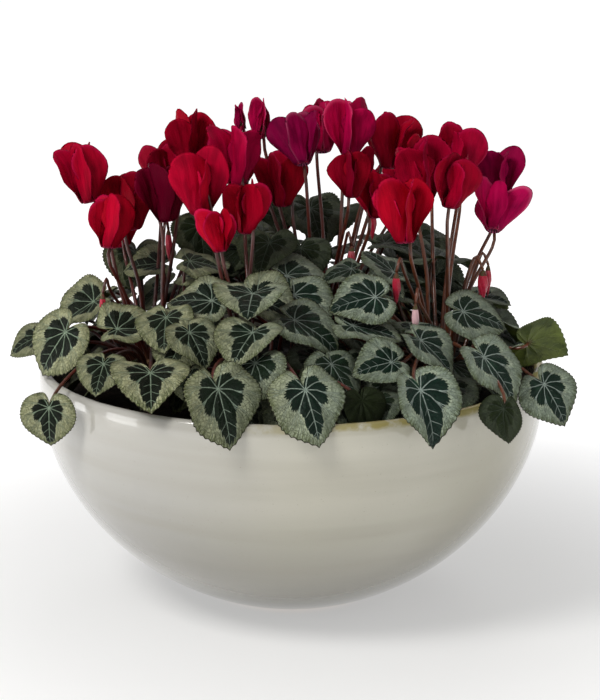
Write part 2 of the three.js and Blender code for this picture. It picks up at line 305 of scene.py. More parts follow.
# The leaves that the frame holds: tuber, the point where the stalk meets the blade, the length to the tip,
# the way the tip points in plan, how far it droops, how far the blade rolls about its midrib (degrees), and
# how much painted shade darkens it.
LEAVES = [
    Leaf("left", (-158, -15, 168), 23, 188, 18, -25, 0.15),
    Leaf("left", (-141, -105, 147), 24, -100, 78, 0, 0),
    Leaf("left", (-136, -58, 181), 32, -168, 50, -38, 0),
    Leaf("left", (-123, -20, 191), 30, -175, 25, -25, 0.1),
    Leaf("left", (-103, -76, 187), 30, 15, -4, 22, 0.05),
    Leaf("left", (-80, -125, 173), 32, -85, 18, 0, 0),
    Leaf("left", (-86, 40, 203), 27, 170, 0, -25, 0.2),
    Leaf("left", (-118, 78, 176), 32, 146, 30, 0, 0.4),
    Leaf("left", (-66, 128, 172), 32, 116, 38, 0, 0.5),
    Leaf("front", (-47, -75, 204), 31, 165, -3, -28, 0.05),
    Leaf("front", (-20, -63, 203), 31, -5, 22, 28, 0.1),
    Leaf("front", (-22, -110, 193), 30, -118, 20, 0, 0.1),
    Leaf("front", (-40, -163, 174), 36, -42, 66, 8, 0.15),
    Leaf("front", (8, -161, 173), 34, -50, 60, 8, 0),
    Leaf("front", (-3, -12, 206), 33, -10, 10, 25, 0.25),
    Leaf("back", (5, 144, 172), 33, 88, 40, 0, 0.5),
    Leaf("back", (24, 96, 202), 33, 80, 12, 0, 0.75),
    Leaf("right", (50, -60, 203), 30, -165, 4, -34, 0.05),
    Leaf("right", (58, -108, 175), 25, -165, 5, -34, 0.1),
    Leaf("right", (72, -151, 170), 34, -42, 58, 6, 0),
    Leaf("right", (112, -100, 176), 35, -25, 40, 10, 0.1),
    Leaf("right", (150, -82, 155), 29, -28, 50, 30, 0.1),
    Leaf("right", (145, -40, 170), 28, 22, 12, -60, 0),
    Leaf("right", (105, -38, 189), 31, 0, 12, 30, 0.25),
    Leaf("right", (122, 76, 174), 32, 32, 34, 0, 0.4),
    Leaf("right", (72, 126, 172), 33, 62, 38, 0, 0.5),
]

# More leaves that the photograph shows, in the same form.
MORE_LEAVES = [
    Leaf("left", (-109, -100, 172), 22, -108, 42, 0, 0.1),
    Leaf("left", (-64, 0, 213), 24, 10, 5, 20, 0.4),
    Leaf("front", (-30, -70, 199), 32, -110, 25, 0, 0.1),
    Leaf("left", (-73, -88, 197), 25, -95, 35, 10, 0.15),
    Leaf("front", (-48, -108, 185), 25, -78, 55, 30, 0.15),
    Leaf("front", (-23, -122, 179), 30, -108, 38, 0, 0.3),
    Leaf("front", (-58, -118, 170), 18, -90, 40, 0, 0.3),
    Leaf("front", (5, -45, 199), 34, -38, 28, 15, 0.15),
    Leaf("front", (0, -78, 192), 34, -22, 15, 20, 0.3),
    Leaf("right", (33, -75, 191), 33, -8, 10, 24, 0.2),
    Leaf("right", (68, -95, 181), 30, -45, 30, 12, 0.15),
    Leaf("right", (79, -55, 188), 25, 5, 3, 25, 0.2),
    Leaf("right", (63, -10, 208), 26, 150, -38, 0, 0.3),
    Leaf("back", (37, -15, 211), 20, 190, 8, -20, 0.4),
    Leaf("right", (121, -128, 157), 22, -105, 78, 50, 0.9),
    Leaf("front", (41, -140, 161), 21, -62, 60, 0, 1.0),
    Leaf("back", (-5, 60, 212), 34, 200, 5, -30, 0.6),
    Leaf("right", (122, 20, 188), 22, 0, 5, 10, 0.35),
    Leaf("right", (70, 30, 204), 32, 60, 5, 0, 0.7),
    Leaf("right", (96, 72, 201), 32, 35, 8, 10, 0.7),
    Leaf("right", (112, 56, 180), 31, 10, 16, -10, 0.6),
    Leaf("back", (52, 72, 212), 30, 70, 5, 0, 0.75),
    Leaf("back", (-30, 96, 204), 32, 110, 10, 0, 0.6),
    Leaf("back", (-20, 50, 222), 31, 195, -4, -14, 0.8),
    Leaf("back", (-24, 98, 226), 32, -95, 48, 0, 0.85),
    Leaf("back", (6, 104, 225), 33, -90, 46, 0, 0.8),
    Leaf("back", (38, 104, 222), 26, -82, 42, 0, 0.85),
    Leaf("back", (60, 104, 212), 31, -85, 42, 0, 0.8),
    Leaf("back", (82, 98, 210), 31, -80, 42, 0, 0.8),
    Leaf("right", (100, 104, 181), 33, -88, 48, 0, 0.8),
    Leaf("left", (-64, 74, 226), 29, -95, 42, 0, 0.8),
    Leaf("left", (-104, 66, 206), 29, -100, 38, 0, 0.75),
    Leaf("back", (-14, 14, 220), 28, -110, 35, 0, 0.8),
    Leaf("back", (8, 30, 220), 28, -70, 35, 0, 0.85),
    Leaf("back", (-30, 40, 218), 28, -130, 25, 0, 0.8),
    Leaf("back", (60, 50, 214), 30, -10, 4, 8, 0.8),
    Leaf("right", (116, 46, 174), 32, -5, 18, 16, 0.75),
    Leaf("right", (128, 12, 167), 30, -10, 22, 18, 0.65),
    Leaf("front", (-62, -92, 186), 28, -120, 30, 0, 0.3),
    Leaf("front", (24, -112, 176), 28, -60, 40, 0, 0.4),
    Leaf("left", (-96, -66, 178), 28, -120, 28, 0, 0.35),
    Leaf("left", (-70, -60, 188), 28, -60, 20, 0, 0.3),
    Leaf("right", (56, -84, 178), 28, -100, 36, 0, 0.45),
]

# The flowers that the frame holds: tuber, mouth, height, lean to the right; then the look: how far the gap
# between two petals is turned from the front, how far they splay, how magenta they are, and how dark: partly
# a deeper red and partly painted shade.
FLOWERS = [
    Flower("left", (-126, 0, 252), 37, -12, 30, -0.03, 0.1, 0.15),
    Flower("left", (-112, -28, 228), 31, 5, 28, 0.0, 0.0, 0.1),
    Flower("left", (-100, 14, 232), 33, -6, 12, 0.0, 0.0, 0.4),
    Flower("left", (-77, -5, 241), 37, -10, 20, 0.06, 0.3, 0.8),
    Flower("left", (-65, 42, 269), 33, -3, 0, 0.06, 0.1, 0.2),
    Flower("front", (-55, -40, 251), 38, -2, 6, 0.0, 0.1, 0.0),
    Flower("front", (-35, 22, 259), 36, -3, 36, 0.0, 0.4, 0.2),
    Flower("front", (-42, -62, 232), 25, -9, 34, 0.0, 0.0, 0.05),
    Flower("front", (-28, -22, 236), 30, 2, -20, 0.03, 0.1, 0.05),
    Flower("back", (-6, 55, 240), 34, -2, 10, 0.1, 0.0, 0.4),
    Flower("back", (7, 30, 271), 33, -9, 36, 0.1, 1.0, 0.5),
    Flower("back", (20, 72, 273), 34, -2, 0, -0.02, 0.6, 0.0),
    Flower("back", (37, 36, 276), 34, 0, 4, 0.0, 0.6, 0.0),
    Flower("back", (63, 62, 264), 34, 4, 20, 0.14, 0.05, 0.25),
    Flower("back", (38, -2, 255), 28, -3, 0, 0.0, 0.1, 0.55),
    Flower("back", (54, 28, 237), 30, -5, 36, 0.0, 0.0, 0.35),
    Flower("right", (68, -48, 235), 35, -2, 0, 0.05, 0.0, 0.05),
    Flower("right", (82, 0, 252), 38, -6, 3, 0.05, 0.15, 0.1),
    Flower("right", (106, 42, 258), 35, 4, 12, 0.05, 0.2, 0.05),
    Flower("right", (96, -34, 254), 32, 9, 30, 0.0, 0.1, 0.35),
    Flower("right", (136, 66, 242), 32, 0, 0, 0.0, 0.9, 0.45),
    Flower("right", (127, 8, 232), 32, 8, 22, 0.17, 0.8, 0.0),
]

# How far back the flowers tip, in degrees: most of them, and those that show their mouth to the front
TIPPED = 3
TIPPED_BACK = {"bloom_02": 12, "bloom_08": 10, "bloom_11": 24, "bloom_12": 20, "bloom_17": 10, "bloom_22": 32}

# More flowers, in the same form: two with narrow petals that stand up behind, and those round the back.
MORE_FLOWERS = [
    Flower("back", (-22, 70, 282), 25, 4, 8, -0.1, 0.7, 0.0),
    Flower("back", (-36, 96, 246), 33, -6, 10, 0.05, 0.1, 0.1),
    Flower("left", (-82, 60, 247), 33, -6, 25, 0.0, 0.15, 0.5),
    Flower("back", (74, 112, 234), 32, 3, 22, 0.0, 0.2, 0.0),
    Flower("right", (112, 90, 240), 31, 0, 0, 0.0, 0.6, 0.1),
    Flower("back", (-12, 118, 206), 30, 4, 5, 0.05, 0.1, 0.2),
    Flower("left", (-60, 84, 228), 31, -4, 33, 0.0, 0.0, 0.1),
    Flower("left", (-112, 60, 212), 31, -8, 15, 0.05, 0.1, 0.1),
    Flower("right", (90, 72, 250), 30, 2, 25, -0.02, 0.05, 0.35),
    Flower("back", (-34, 76, 286), 17, -2, 8, -0.17, 0.8, 0.25),
]

# The buds that the frame holds: tuber, the top of the hooked stem, how open the bud is and how pale.
BUDS = [
    Bud("left", (-112, -44, 211), 0.0, 0.1),
    Bud("back", (36, 20, 228), 0.1, 0.3),
    Bud("back", (48, 45, 247), 0.3, 0.0),
    Bud("right", (66, -40, 223), 0.2, 0.1),
    Bud("right", (75, -68, 210), 0.0, 0.8),
    Bud("right", (115, -10, 218), 0.6, 0.1),
]

# More buds, in the same form.
MORE_BUDS = [
    Bud("right", (121, 12, 216), 0.0, 0.25),
    Bud("left", (-80, 20, 237), 0.0, 0.1),
    Bud("back", (50, 84, 243), 0.1, 0.2),
]


def seen(red, green, blue):
    """A colour as a screen shows it, 0 to 255, in the linear values that materials take."""
    shares = [level / 255 for level in (red, green, blue)]
    return tuple(share / 12.92 if share < 0.04045 else ((share + 0.055) / 1.055) ** 2.4 for share in shares)


def point(row):
    """A place in a table, in metres."""
    return Vector(row) * MM


def smooth(low, high, value):
    """0 below low, 1 above high, and a smooth rise between them, for numbers and arrays."""
    share = np.clip((value - low) / (high - low), 0, 1)
    return share * share * (3 - 2 * share)


def waves(place, kinds):
    """How far a place lies off a smooth surface: noises of so many waves to the metre, with their heights."""
    return sum(noise.noise(place * count) * height for count, height in kinds)


def arithmetic(operation, swapped=False):
    """An operator of a field, which adds the Math node for it."""

    def combine(self, other):
        return self.finish.math(operation, *((other, self) if swapped else (self, other)))

    return combine


class Field:
    """A value that changes over a surface, in one finish's node tree. It takes part in arithmetic."""

    def __init__(self, finish, socket):
        self.finish = finish
        self.socket = socket

    def __abs__(self):
        return self.finish.math("ABSOLUTE", self)

    __add__ = __radd__ = arithmetic("ADD")
    __sub__ = arithmetic("SUBTRACT")
    __rsub__ = arithmetic("SUBTRACT", swapped=True)
    __mul__ = __rmul__ = arithmetic("MULTIPLY")
    __truediv__ = arithmetic("DIVIDE")
    __pow__ = arithmetic("POWER")


class Finish:
    """A material for one kind of surface, whose nodes come from Python expressions."""

    def __init__(self, name, surface):
        self.material = bpy.data.materials.new(name)
        self.material.use_nodes = True
        self.nodes = self.material.node_tree.nodes
        self.links = self.material.node_tree.links
        self.shader = self.nodes["Principled BSDF"]
        self.feed(**surface)

    def node(self, kind, settings=None, sockets=None, output=0):
        """Adds a node with its settings, and the value or link of each socket. Gives one of its outputs."""
        made = self.nodes.new(kind)
        for name, value in (settings or {}).items():
            setattr(made, name, value)
        for key, value in (sockets or {}).items():
            self.give(made.inputs[key], value)
        return Field(self, made.outputs[output])

    def give(self, socket, value):
        """Links a field to a socket, or sets the socket to a number, a place or a colour."""
        if isinstance(value, Field):
            self.links.new(value.socket, socket)
        elif socket.type == "RGBA":
            socket.default_value = (*value[:3], 1)
        else:
            socket.default_value = value

    def feed(self, **sockets):
        """Links fields to the shader's own sockets, or sets these."""
        for name, value in sockets.items():
            self.give(self.shader.inputs[name.replace("_", " ")], value)

    def math(self, operation, *terms):
        return self.node("ShaderNodeMath", {"operation": operation}, dict(enumerate(terms)))

    def blend(self, first, second, share):
        """A colour between two, at share of the way from the first."""
        return self.node("ShaderNodeMix", {"data_type": "RGBA"}, {0: share, 6: first, 7: second}, 2)

    def layers(self, base, *coats):
        """A colour with others laid over it in turn, each with its share."""
        for coat, share in coats:
            base = self.blend(base, coat, share)
        return base

    def rise(self, low, high, value):
        """0 below low, 1 above high, and a smooth rise between them."""
        sockets = {"Value": value, "From Min": low, "From Max": high}
        return self.node("ShaderNodeMapRange", {"interpolation_type": "SMOOTHSTEP"}, sockets)

    def grain(self, place, scale, detail=2.0, roughness=0.5):
        """Soft noise from 0 to 1 around a place."""
        sockets = {"Vector": place, "Scale": scale, "Detail": detail, "Roughness": roughness}
        return self.node("ShaderNodeTexNoise", None, sockets)

    def ridges(self, place, scale):
        """How far a place is from the nearest border between cells."""
        settings = {"feature": "DISTANCE_TO_EDGE"}
        return self.node("ShaderNodeTexVoronoi", settings, {"Vector": place, "Scale": scale})

    def place(self):
        """Where a point of the object is, in metres."""
        return self.node("ShaderNodeTexCoord", None, None, 3)

    def parts(self, vector, axes):
        """The numbers of a vector along the named axes."""
        split = self.node("ShaderNodeSeparateXYZ", None, {0: vector}).socket.node
        return [Field(self, split.outputs[axis]) for axis in axes]

    def joined(self, x, y, z):
        return self.node("ShaderNodeCombineXYZ", None, {0: x, 1: y, 2: z})

    def stretched(self, vector, scale):
        """A place with each direction scaled on its own."""
        return self.node("ShaderNodeMapping", None, {"Vector": vector, "Scale": scale})

    def attribute(self, name):
        """A number that the piece's own mesh carries."""
        return self.node("ShaderNodeAttribute", {"attribute_name": name}, None, 2)

    def sheet_place(self, name):
        """The two coordinates of a UV map, from -1 to 1."""
        return [share * 2 - 1 for share in self.parts(self.node("ShaderNodeUVMap", {"uv_map": name}), "XY")]

    def relief(self, height, distance, strength=1.0):
        """Raises the surface where height is 1 by a distance in metres."""
        sockets = {"Height": height, "Distance": distance, "Strength": strength}
        self.feed(Normal=self.node("ShaderNodeBump", None, sockets))


def colour_setting(name, description, level):
    """A setting for a colour, whose default is given as a screen shows it."""
    return bpy.props.FloatVectorProperty(
        name=name, description=description, default=seen(*level), subtype="COLOR"
    )


def length_setting(name, description, default):
    """A setting for a length in metres."""
    return bpy.props.FloatProperty(name=name, description=description, default=default, unit="LENGTH")


def number_setting(name, description, default, most):
    """A setting for how many there are."""
    return bpy.props.IntProperty(name=name, description=description, default=default, min=0, max=most)


class BowlSettings(bpy.types.PropertyGroup):
    """Sizes and colours of the bowl and its soil."""

    wall: length_setting("Wall", "Thickness of the bowl's wall", 6 * MM)
    glaze: colour_setting("Glaze", "The glaze on the bowl's left", (172, 170, 164))
    # The middle glaze is lighter and warmer as painted light, and the right one darker as painted shade.
    warm_glaze: colour_setting("Warm glaze", "The glaze on its middle", (188, 185, 170))
    dim_glaze: colour_setting("Dim glaze", "The glaze on its right", (155, 151, 130))
    rim_wear: colour_setting("Rim", "The worn edge of the rim", (150, 140, 88))
    peat: colour_setting("Soil", "The moist potting mix", (46, 36, 28))
    crumbs: number_setting("Crumbs", "Loose crumbs on the soil", 520, 1500)


class LeafSettings(bpy.types.PropertyGroup):
    """Sizes and colours of the leaves."""

    thickness: length_setting("Thickness", "Thickness of a blade", 0.7 * MM)
    stalk: length_setting("Stalk", "Radius of a leaf's stalk at its foot", 1.4 * MM)
    teeth: bpy.props.FloatProperty(
        name="Teeth", description="How far the teeth stand out, as a share of the length", default=0.024
    )
    silver: colour_setting("Silver", "The silvered margin on the left", (162, 163, 126))
    cool_silver: colour_setting("Cool silver", "The margin on the right", (148, 162, 143))
    heart: colour_setting("Heart", "The dark middle on the left", (13, 22, 9))
    cool_heart: colour_setting("Cool heart", "The dark middle on the right", (11, 38, 28))
    vein: colour_setting("Vein", "The pale veins", (156, 176, 150))
    under: colour_setting("Underside", "The plain underside", (92, 104, 44))
    stalk_colour: colour_setting("Stalk colour", "Stalks and stems", (88, 34, 26))
    spare: number_setting("Spare leaves", "Leaves that fill the back and the inside", 64, 90)


class FlowerSettings(bpy.types.PropertyGroup):
    """Sizes and colours of the flowers and buds."""

    stem: length_setting("Stem", "Radius of a flower's stem", 1.3 * MM)
    petal: length_setting("Petal", "Thickness of a petal", 0.5 * MM)
    crimson: colour_setting("Crimson", "The petals' red", (180, 4, 34))
    magenta: colour_setting("Magenta", "The bluer red of some petals", (188, 8, 84))
    # Maroon also carries painted shade: in the petals' fold patches and on darker flowers.
    maroon: colour_setting("Maroon", "The red in a petal's folds", (84, 0, 14))


class StageSettings(bpy.types.PropertyGroup):
    """The camera and the floor."""

    aim: bpy.props.FloatVectorProperty(
        name="Aim", description="What the camera looks at", default=(5.2 * MM, 0, 155.6 * MM), subtype="XYZ"
    )
    distance: length_setting("Distance", "From the camera to its aim", 1.2)
    elevation: bpy.props.FloatProperty(
        name="Elevation", description="How far the camera looks down", default=LOOK_DOWN, subtype="ANGLE"
    )
    lens: bpy.props.FloatProperty(name="Lens", description="Focal length in millimetres", default=97.1)
    floor: bpy.props.FloatVectorProperty(
        name="Floor", description="The floor's colour", default=(0.55, 0.55, 0.55), subtype="COLOR"
    )


# Finishes


def finish(**surface):
    """Makes a painter of a finish give its material, which is painted when it is first asked for."""

    def wrap(painter):
        name = FINISH_PREFIX + painter.__name__.removesuffix("_finish")

        def material():
            made = bpy.data.materials.get(name)
            if not made:
                paint = Finish(name, surface)
                painter(paint)
                made = paint.material
            return made

        return material

    return wrap


@finish(Coat_Weight=0.7, Coat_Roughness=0.03, Specular_IOR_Level=0.5)
def glaze_finish(paint):
    """A glossy pale glaze over clay that pools in soft bands, thins at the rim and leaves the foot bare, with
    painted light in the middle and painted shade on the right and towards the foot.
    """
    bowl = bpy.context.scene.cyclamen_bowl
    place = paint.place()
    x, z = paint.parts(place, "XZ")
    # Painted light and shade: the glaze turns lighter past the left and darker on the right, and sooner lower
    # down, as if lit from the left.
    light_and_shade_drift = x + 0.25 * (0.1 - z) + 0.05 * (paint.grain(place, 9) - 0.5)
    bands = paint.grain(paint.stretched(place, (2.0, 2.0, 26.0)), 1.6, 3.0)
    specks = paint.rise(0.72, 0.78, paint.grain(place, 900, 1.0))
    edge = paint.rise(BOWL_H - 5 * MM, BOWL_H - 2.5 * MM, z + 0.006 * (paint.grain(place, 60, 3.0) - 0.5))
    worn = edge * paint.rise(0.36, 0.52, paint.grain(place, 75, 4.0, 0.6)) * paint.rise(-0.06, 0.05, x)
    bare = paint.rise(2.2 * MM, 1.2 * MM, z + 0.0008 * paint.grain(place, 120))
    glaze = paint.layers(
        bowl.glaze,
        # Painted light in the middle, then painted shade on the right.
        (bowl.warm_glaze, paint.rise(-0.09, 0.02, light_and_shade_drift)),
        (bowl.dim_glaze, paint.rise(0.07, 0.13, light_and_shade_drift)),
        (seen(150, 145, 128), paint.rise(0.45, 0.75, bands) * 0.35),
        # Painted shade: the glaze darkens towards the foot.
        (seen(98, 94, 82), paint.rise(0.115, 0.0, z) * 0.92),
        (seen(128, 118, 96), specks * 0.35),
        (bowl.rim_wear, worn),
        (seen(176, 150, 118), bare),
    )
    paint.feed(Base_Color=glaze, Roughness=0.11 + 0.25 * worn + 0.55 * bare + 0.06 * bands)
    dimples = paint.grain(place, 45, 2.0) * 0.5 + paint.grain(place, 14, 1.0)
    paint.relief(dimples + 0.4 * bare * paint.grain(place, 1500), 0.0005, 0.6)


@finish(Specular_IOR_Level=0.35)
def soil_finish(paint):
    """Moist potting mix: nearly black, with lighter fibres and wet glints."""
    peat = bpy.context.scene.cyclamen_bowl.peat
    place = paint.place()
    lumps = paint.grain(place, 130, 6.0, 0.65)
    fibres = paint.rise(0.64, 0.7, paint.grain(paint.stretched(place, (1, 3, 1)), 420, 2.0))
    soil = paint.layers(
        [0.35 * level for level in peat],
        (peat, paint.rise(0.35, 0.7, lumps)),
        (seen(112, 84, 56), fibres * 0.6),
    )
    paint.feed(Base_Color=soil, Roughness=1.0 - 0.35 * paint.rise(0.5, 0.8, paint.grain(place, 60)))
    paint.relief(lumps + 0.3 * paint.grain(place, 900, 3.0), 0.0016)


@finish(Specular_IOR_Level=0.2, Roughness=0.85)
def tuber_finish(paint):
    """Corky brown skin with darker cracks."""
    place = paint.place()
    cracks = paint.rise(0.0, 0.09, paint.ridges(place, 260))
    mottle = paint.grain(place, 180, 5.0, 0.6)
    skin = paint.blend(seen(70, 48, 34), seen(128, 98, 70), paint.rise(0.3, 0.7, mottle))
    paint.feed(Base_Color=paint.blend(seen(34, 22, 16), skin, cracks))
    paint.relief(cracks * 0.6 + mottle, 0.0012)


def blade_pattern(paint):
    """What both sides of a blade follow: places on it, its pale veins, and how near a gap between them is."""
    forward, side = paint.sheet_place("blade")
    sheet = paint.joined(forward, side, paint.attribute("seed") * 9)
    coarse = paint.grain(sheet, 3.2, 2.0)
    wobble = 0.3 * (coarse - 0.5)
    radius = (forward * forward + side * side) ** 0.5
    turn = abs(paint.math("ARCTAN2", side, forward))
    bend = turn + VEIN_BEND * radius * paint.math("SINE", turn)

    # The veins that spread from the stalk, their forks and the forks' twigs, each thinner outwards
    start = bend + wobble
    apart = paint.math("PINGPONG", start, VEIN_GAP / 2)
    forked = abs(apart - 0.42 * paint.math("MAXIMUM", radius - 0.26, 0))
    twig = abs(forked - 0.3 * paint.math("MAXIMUM", radius - 0.42, 0))
    width = 0.0165 - 0.0125 * radius
    palm = paint.rise(0.42 * VEIN_GAP, 0.58 * VEIN_GAP, start)
    trunk = paint.rise(1.0, 0.35, apart * radius / width) * paint.rise(0.66, 0.5, radius)
    fork = paint.rise(1.0, 0.3, forked * radius / width) * paint.rise(0.24, 0.3, radius)
    tip = paint.rise(1.0, 0.3, twig * radius / (width * 0.8)) * paint.rise(0.4, 0.46, radius)
    hand = palm * paint.math("MAXIMUM", paint.math("MAXIMUM", trunk, fork), tip * 0.8)

    # The midrib, and the branches that leave it at both sides
    rib = paint.rise(1.0, 0.4, abs(side + 0.02 * wobble) / (0.021 - 0.016 * forward))
    rib = rib * paint.rise(0, 0.02, forward)
    branch = paint.math("PINGPONG", forward - 0.85 * abs(side) + 0.25 * wobble + 0.06, BRANCH_GAP / 2)
    feather = paint.rise(0.0085, 0.003, branch * 0.76) * (1 - palm) * paint.rise(0.16, 0.22, forward)
    lines = paint.math("MAXIMUM", hand, paint.math("MAXIMUM", rib, feather * 0.85))
    between = apart / (VEIN_GAP / 2)
    return SimpleNamespace(
        sheet=sheet, coarse=coarse, radius=radius, turn=turn, bend=bend, lines=lines, between=between
    )


@finish(Specular_IOR_Level=0.18)
def leaf_face_finish(paint):
    """The face of a blade: a dark jagged heart with pale forking veins in a wide silver margin, and painted
    shade on leaves that lie in shadow.
    """
    leaf = bpy.context.scene.cyclamen_leaf
    blade = blade_pattern(paint)
    share, tone, seed, shade = (paint.attribute(name) for name in ("share", "tone", "seed", "shade"))
    fine = paint.grain(blade.sheet, 26, 3.0, 0.6)
    x = paint.parts(paint.place(), "X")[0]
    cool = paint.rise(-0.085, 0.04, x + 0.04 * (tone - 0.5))

    # The border of the dark heart: saw teeth, a point between each two veins, and a long wedge to the tip
    teeth = paint.math("PINGPONG", blade.bend + 0.1 * blade.coarse, 0.06) / 0.06
    wedge = paint.rise(0.45, 0.0, blade.turn) * 0.36
    border = 0.53 + 0.085 * blade.between + wedge + 0.05 * teeth
    border = border + 0.24 * (blade.coarse - 0.5) + 0.12 * (fine - 0.5) + 0.12 * (tone - 0.5)
    dark = paint.rise(0.02, -0.02, share - border)

    # The margin: mottled silver, with a net of small veins, darker and finely ticked towards the edge
    net = paint.rise(0.05, 0.0, paint.ridges(blade.sheet, 14)) * 0.24
    patches = paint.rise(0.45, 0.75, paint.grain(blade.sheet, 7, 2.0)) * 0.35
    inner = paint.rise(0.11, 0.0, share - border) * 0.5
    ticks = paint.grain(paint.joined(blade.turn * 34, share * 2.5, seed * 9), 1.0, 1.0)
    outer = paint.rise(0.74, 0.98, share) * (0.25 + 0.75 * paint.rise(0.44, 0.58, ticks))
    margin = paint.layers(
        leaf.silver,
        (leaf.cool_silver, cool),
        (seen(186, 194, 172), paint.rise(0.48, 0.72, fine) * 0.36),
        (seen(66, 78, 44), net + patches + 0.24 * paint.rise(0.5, 0.3, fine)),
        (seen(188, 197, 170), inner * (0.45 + 0.55 * cool)),
        (seen(78, 88, 46), outer * 0.8),
    )

    # The heart: nearly black, with a green glow near the stalk and a net of darker lines
    glow = paint.rise(0.45, 0.8, blade.coarse) * paint.rise(0.5, 0.1, blade.radius) * 0.45
    heart = paint.layers(
        leaf.heart,
        (leaf.cool_heart, cool),
        (seen(52, 92, 68), glow * (0.3 + 0.7 * cool)),
        (seen(7, 13, 9), paint.rise(0.03, 0.0, paint.ridges(blade.sheet, 13)) * 0.6),
    )
    veins = blade.lines * (0.42 + 0.58 * dark) * paint.rise(0.97, 0.8, share)
    face = paint.layers(
        margin,
        (heart, dark),
        (paint.blend(leaf.vein, seen(178, 194, 184), cool), veins * (0.62 + 0.3 * blade.coarse)),
        (seen(42, 30, 22), paint.rise(0.972, 0.995, share) * 0.85),
        # Painted shade: the leaf's shade darkens it towards dark green.
        (seen(32, 42, 16), shade),
    )
    paint.feed(Base_Color=face, Roughness=0.46 + 0.14 * (1 - dark) + 0.1 * (fine - 0.5))
    pillow = blade.between * paint.rise(0.0, 0.3, blade.radius)
    wrinkles = paint.rise(0.0, 0.1, paint.ridges(blade.sheet, 17))
    paint.relief(0.8 * pillow - 0.7 * blade.lines + 0.3 * fine + 0.35 * wrinkles, 0.0017)


@finish(Specular_IOR_Level=0.3)
def leaf_under_finish(paint):
    """The back of a blade: plain yellow-green with raised veins and a flush of red, and painted shade on
    leaves that lie in shadow.
    """
    leaf = bpy.context.scene.cyclamen_leaf
    blade = blade_pattern(paint)
    fine = paint.grain(blade.sheet, 24, 3.0, 0.6)
    green = paint.layers(
        leaf.under,
        (seen(58, 70, 26), paint.rise(0.35, 0.7, blade.coarse + 0.3 * (fine - 0.5))),
        (seen(120, 132, 74), blade.lines * 0.55),
        (seen(104, 60, 48), paint.rise(0.14, 0.0, blade.radius) * 0.6),
        # Painted shade: the leaf's shade darkens the underside too.
        (seen(34, 44, 16), 0.8 * paint.attribute("shade")),
    )
    paint.feed(Base_Color=green, Roughness=0.52 + 0.2 * (fine - 0.5))
    paint.relief(blade.lines + 0.3 * fine - 0.3 * blade.between, 0.0007)


@finish(Specular_IOR_Level=0.6, Roughness=0.28)
def stalk_finish(paint):
    """Fleshy red-brown stalks, with a painted highlight that makes them lighter and more copper on the right,
    greener near the tubers.
    """
    place = paint.place()
    x, z = paint.parts(place, "XZ")
    mottle = paint.grain(paint.stretched(place, (1, 1, 0.25)), 500, 3.0)
    skin = paint.layers(
        bpy.context.scene.cyclamen_leaf.stalk_colour,
        # Painted highlight: lighter and more copper towards the right.
        (seen(110, 62, 40), paint.rise(0.0, 0.1, x + 0.02 * (paint.grain(place, 30) - 0.5))),
        (seen(40, 12, 12), paint.rise(0.38, 0.7, mottle) * 0.7),
        (seen(104, 84, 62), paint.rise(0.165, 0.148, z) * 0.4),
    )
    paint.feed(Base_Color=skin)
    paint.relief(mottle, 0.0003)


@finish(Specular_IOR_Level=0.03)
def petal_finish(paint):
    """Velvet crimson: darker in patches of painted fold shade and towards the mouth, pinker at the edge with
    a painted highlight on magenta petals, with fine long veins.
    """
    flower = bpy.context.scene.cyclamen_flower
    across, along = paint.sheet_place("petal")
    tint, shade, seed = (paint.attribute(name) for name in ("tint", "shade", "seed"))
    streaks = paint.grain(paint.joined(across * 9, along * 0.8, seed * 9), 2.2, 3.0, 0.6)
    cloud = paint.grain(paint.joined(across * 1.6, along * 0.9, seed * 9), 1.3, 2.0)
    # Painted shade of folds in broad patches, with the darker streaks of the fine veins.
    folds = 0.5 * paint.rise(0.42, 0.7, cloud) + 0.16 * paint.rise(0.42, 0.7, streaks)
    edge = paint.rise(0.82, 1.0, (across * across + along * along) ** 0.5) * paint.rise(0.35, 0.7, seed)
    lip = paint.rise(-0.72, -0.84, along) * paint.rise(-1.0, -0.9, along)
    deep = paint.blend(flower.maroon, seen(66, 0, 34), tint)
    # The edge is rosier: the petal's own paler rim, and on magenta petals a paler pink that is a painted
    # highlight.
    rosy_edge_and_highlight = paint.blend(seen(206, 24, 84), seen(232, 104, 148), paint.rise(0.35, 0.8, tint))
    red = paint.layers(
        flower.crimson,
        (flower.magenta, tint),
        (deep, 0.85 * folds),
        (deep, 0.5 * paint.rise(-0.2, -0.85, along)),
        (rosy_edge_and_highlight, edge * 0.6),
        (seen(190, 70, 112), lip * 0.6),
        # The flower's darkness: partly a deeper red, partly painted shade.
        (deep, shade),
    )
    paint.feed(Base_Color=red, Roughness=0.5 + 0.15 * (streaks - 0.5))
    paint.relief(0.5 * streaks + 0.4 * cloud, 0.0006)


@finish(Specular_IOR_Level=0.3, Roughness=0.5)
def throat_finish(paint):
    """The mouth of a flower: pale magenta lines on its rolled lip, and nearly black inside."""
    across, along = paint.sheet_place("petal")
    stripes = paint.rise(0.35, 0.75, paint.math("SINE", across * 31.4) * 0.5 + 0.5)
    colours = paint.layers(
        seen(52, 0, 22),
        (seen(206, 84, 138), stripes * paint.rise(-0.2, 0.3, along) * 0.7),
        (seen(150, 6, 48), paint.rise(0.5, 0.9, along)),
    )
    paint.feed(Base_Color=colours)


@finish(Specular_IOR_Level=0.3, Roughness=0.55)
def calyx_finish(paint):
    """The small green and brown cup that holds a flower or a bud."""
    mottle = paint.rise(0.35, 0.7, paint.grain(paint.place(), 700, 3.0))
    paint.feed(Base_Color=paint.blend(seen(72, 74, 38), seen(96, 44, 38), mottle))
    paint.relief(mottle, 0.0003)


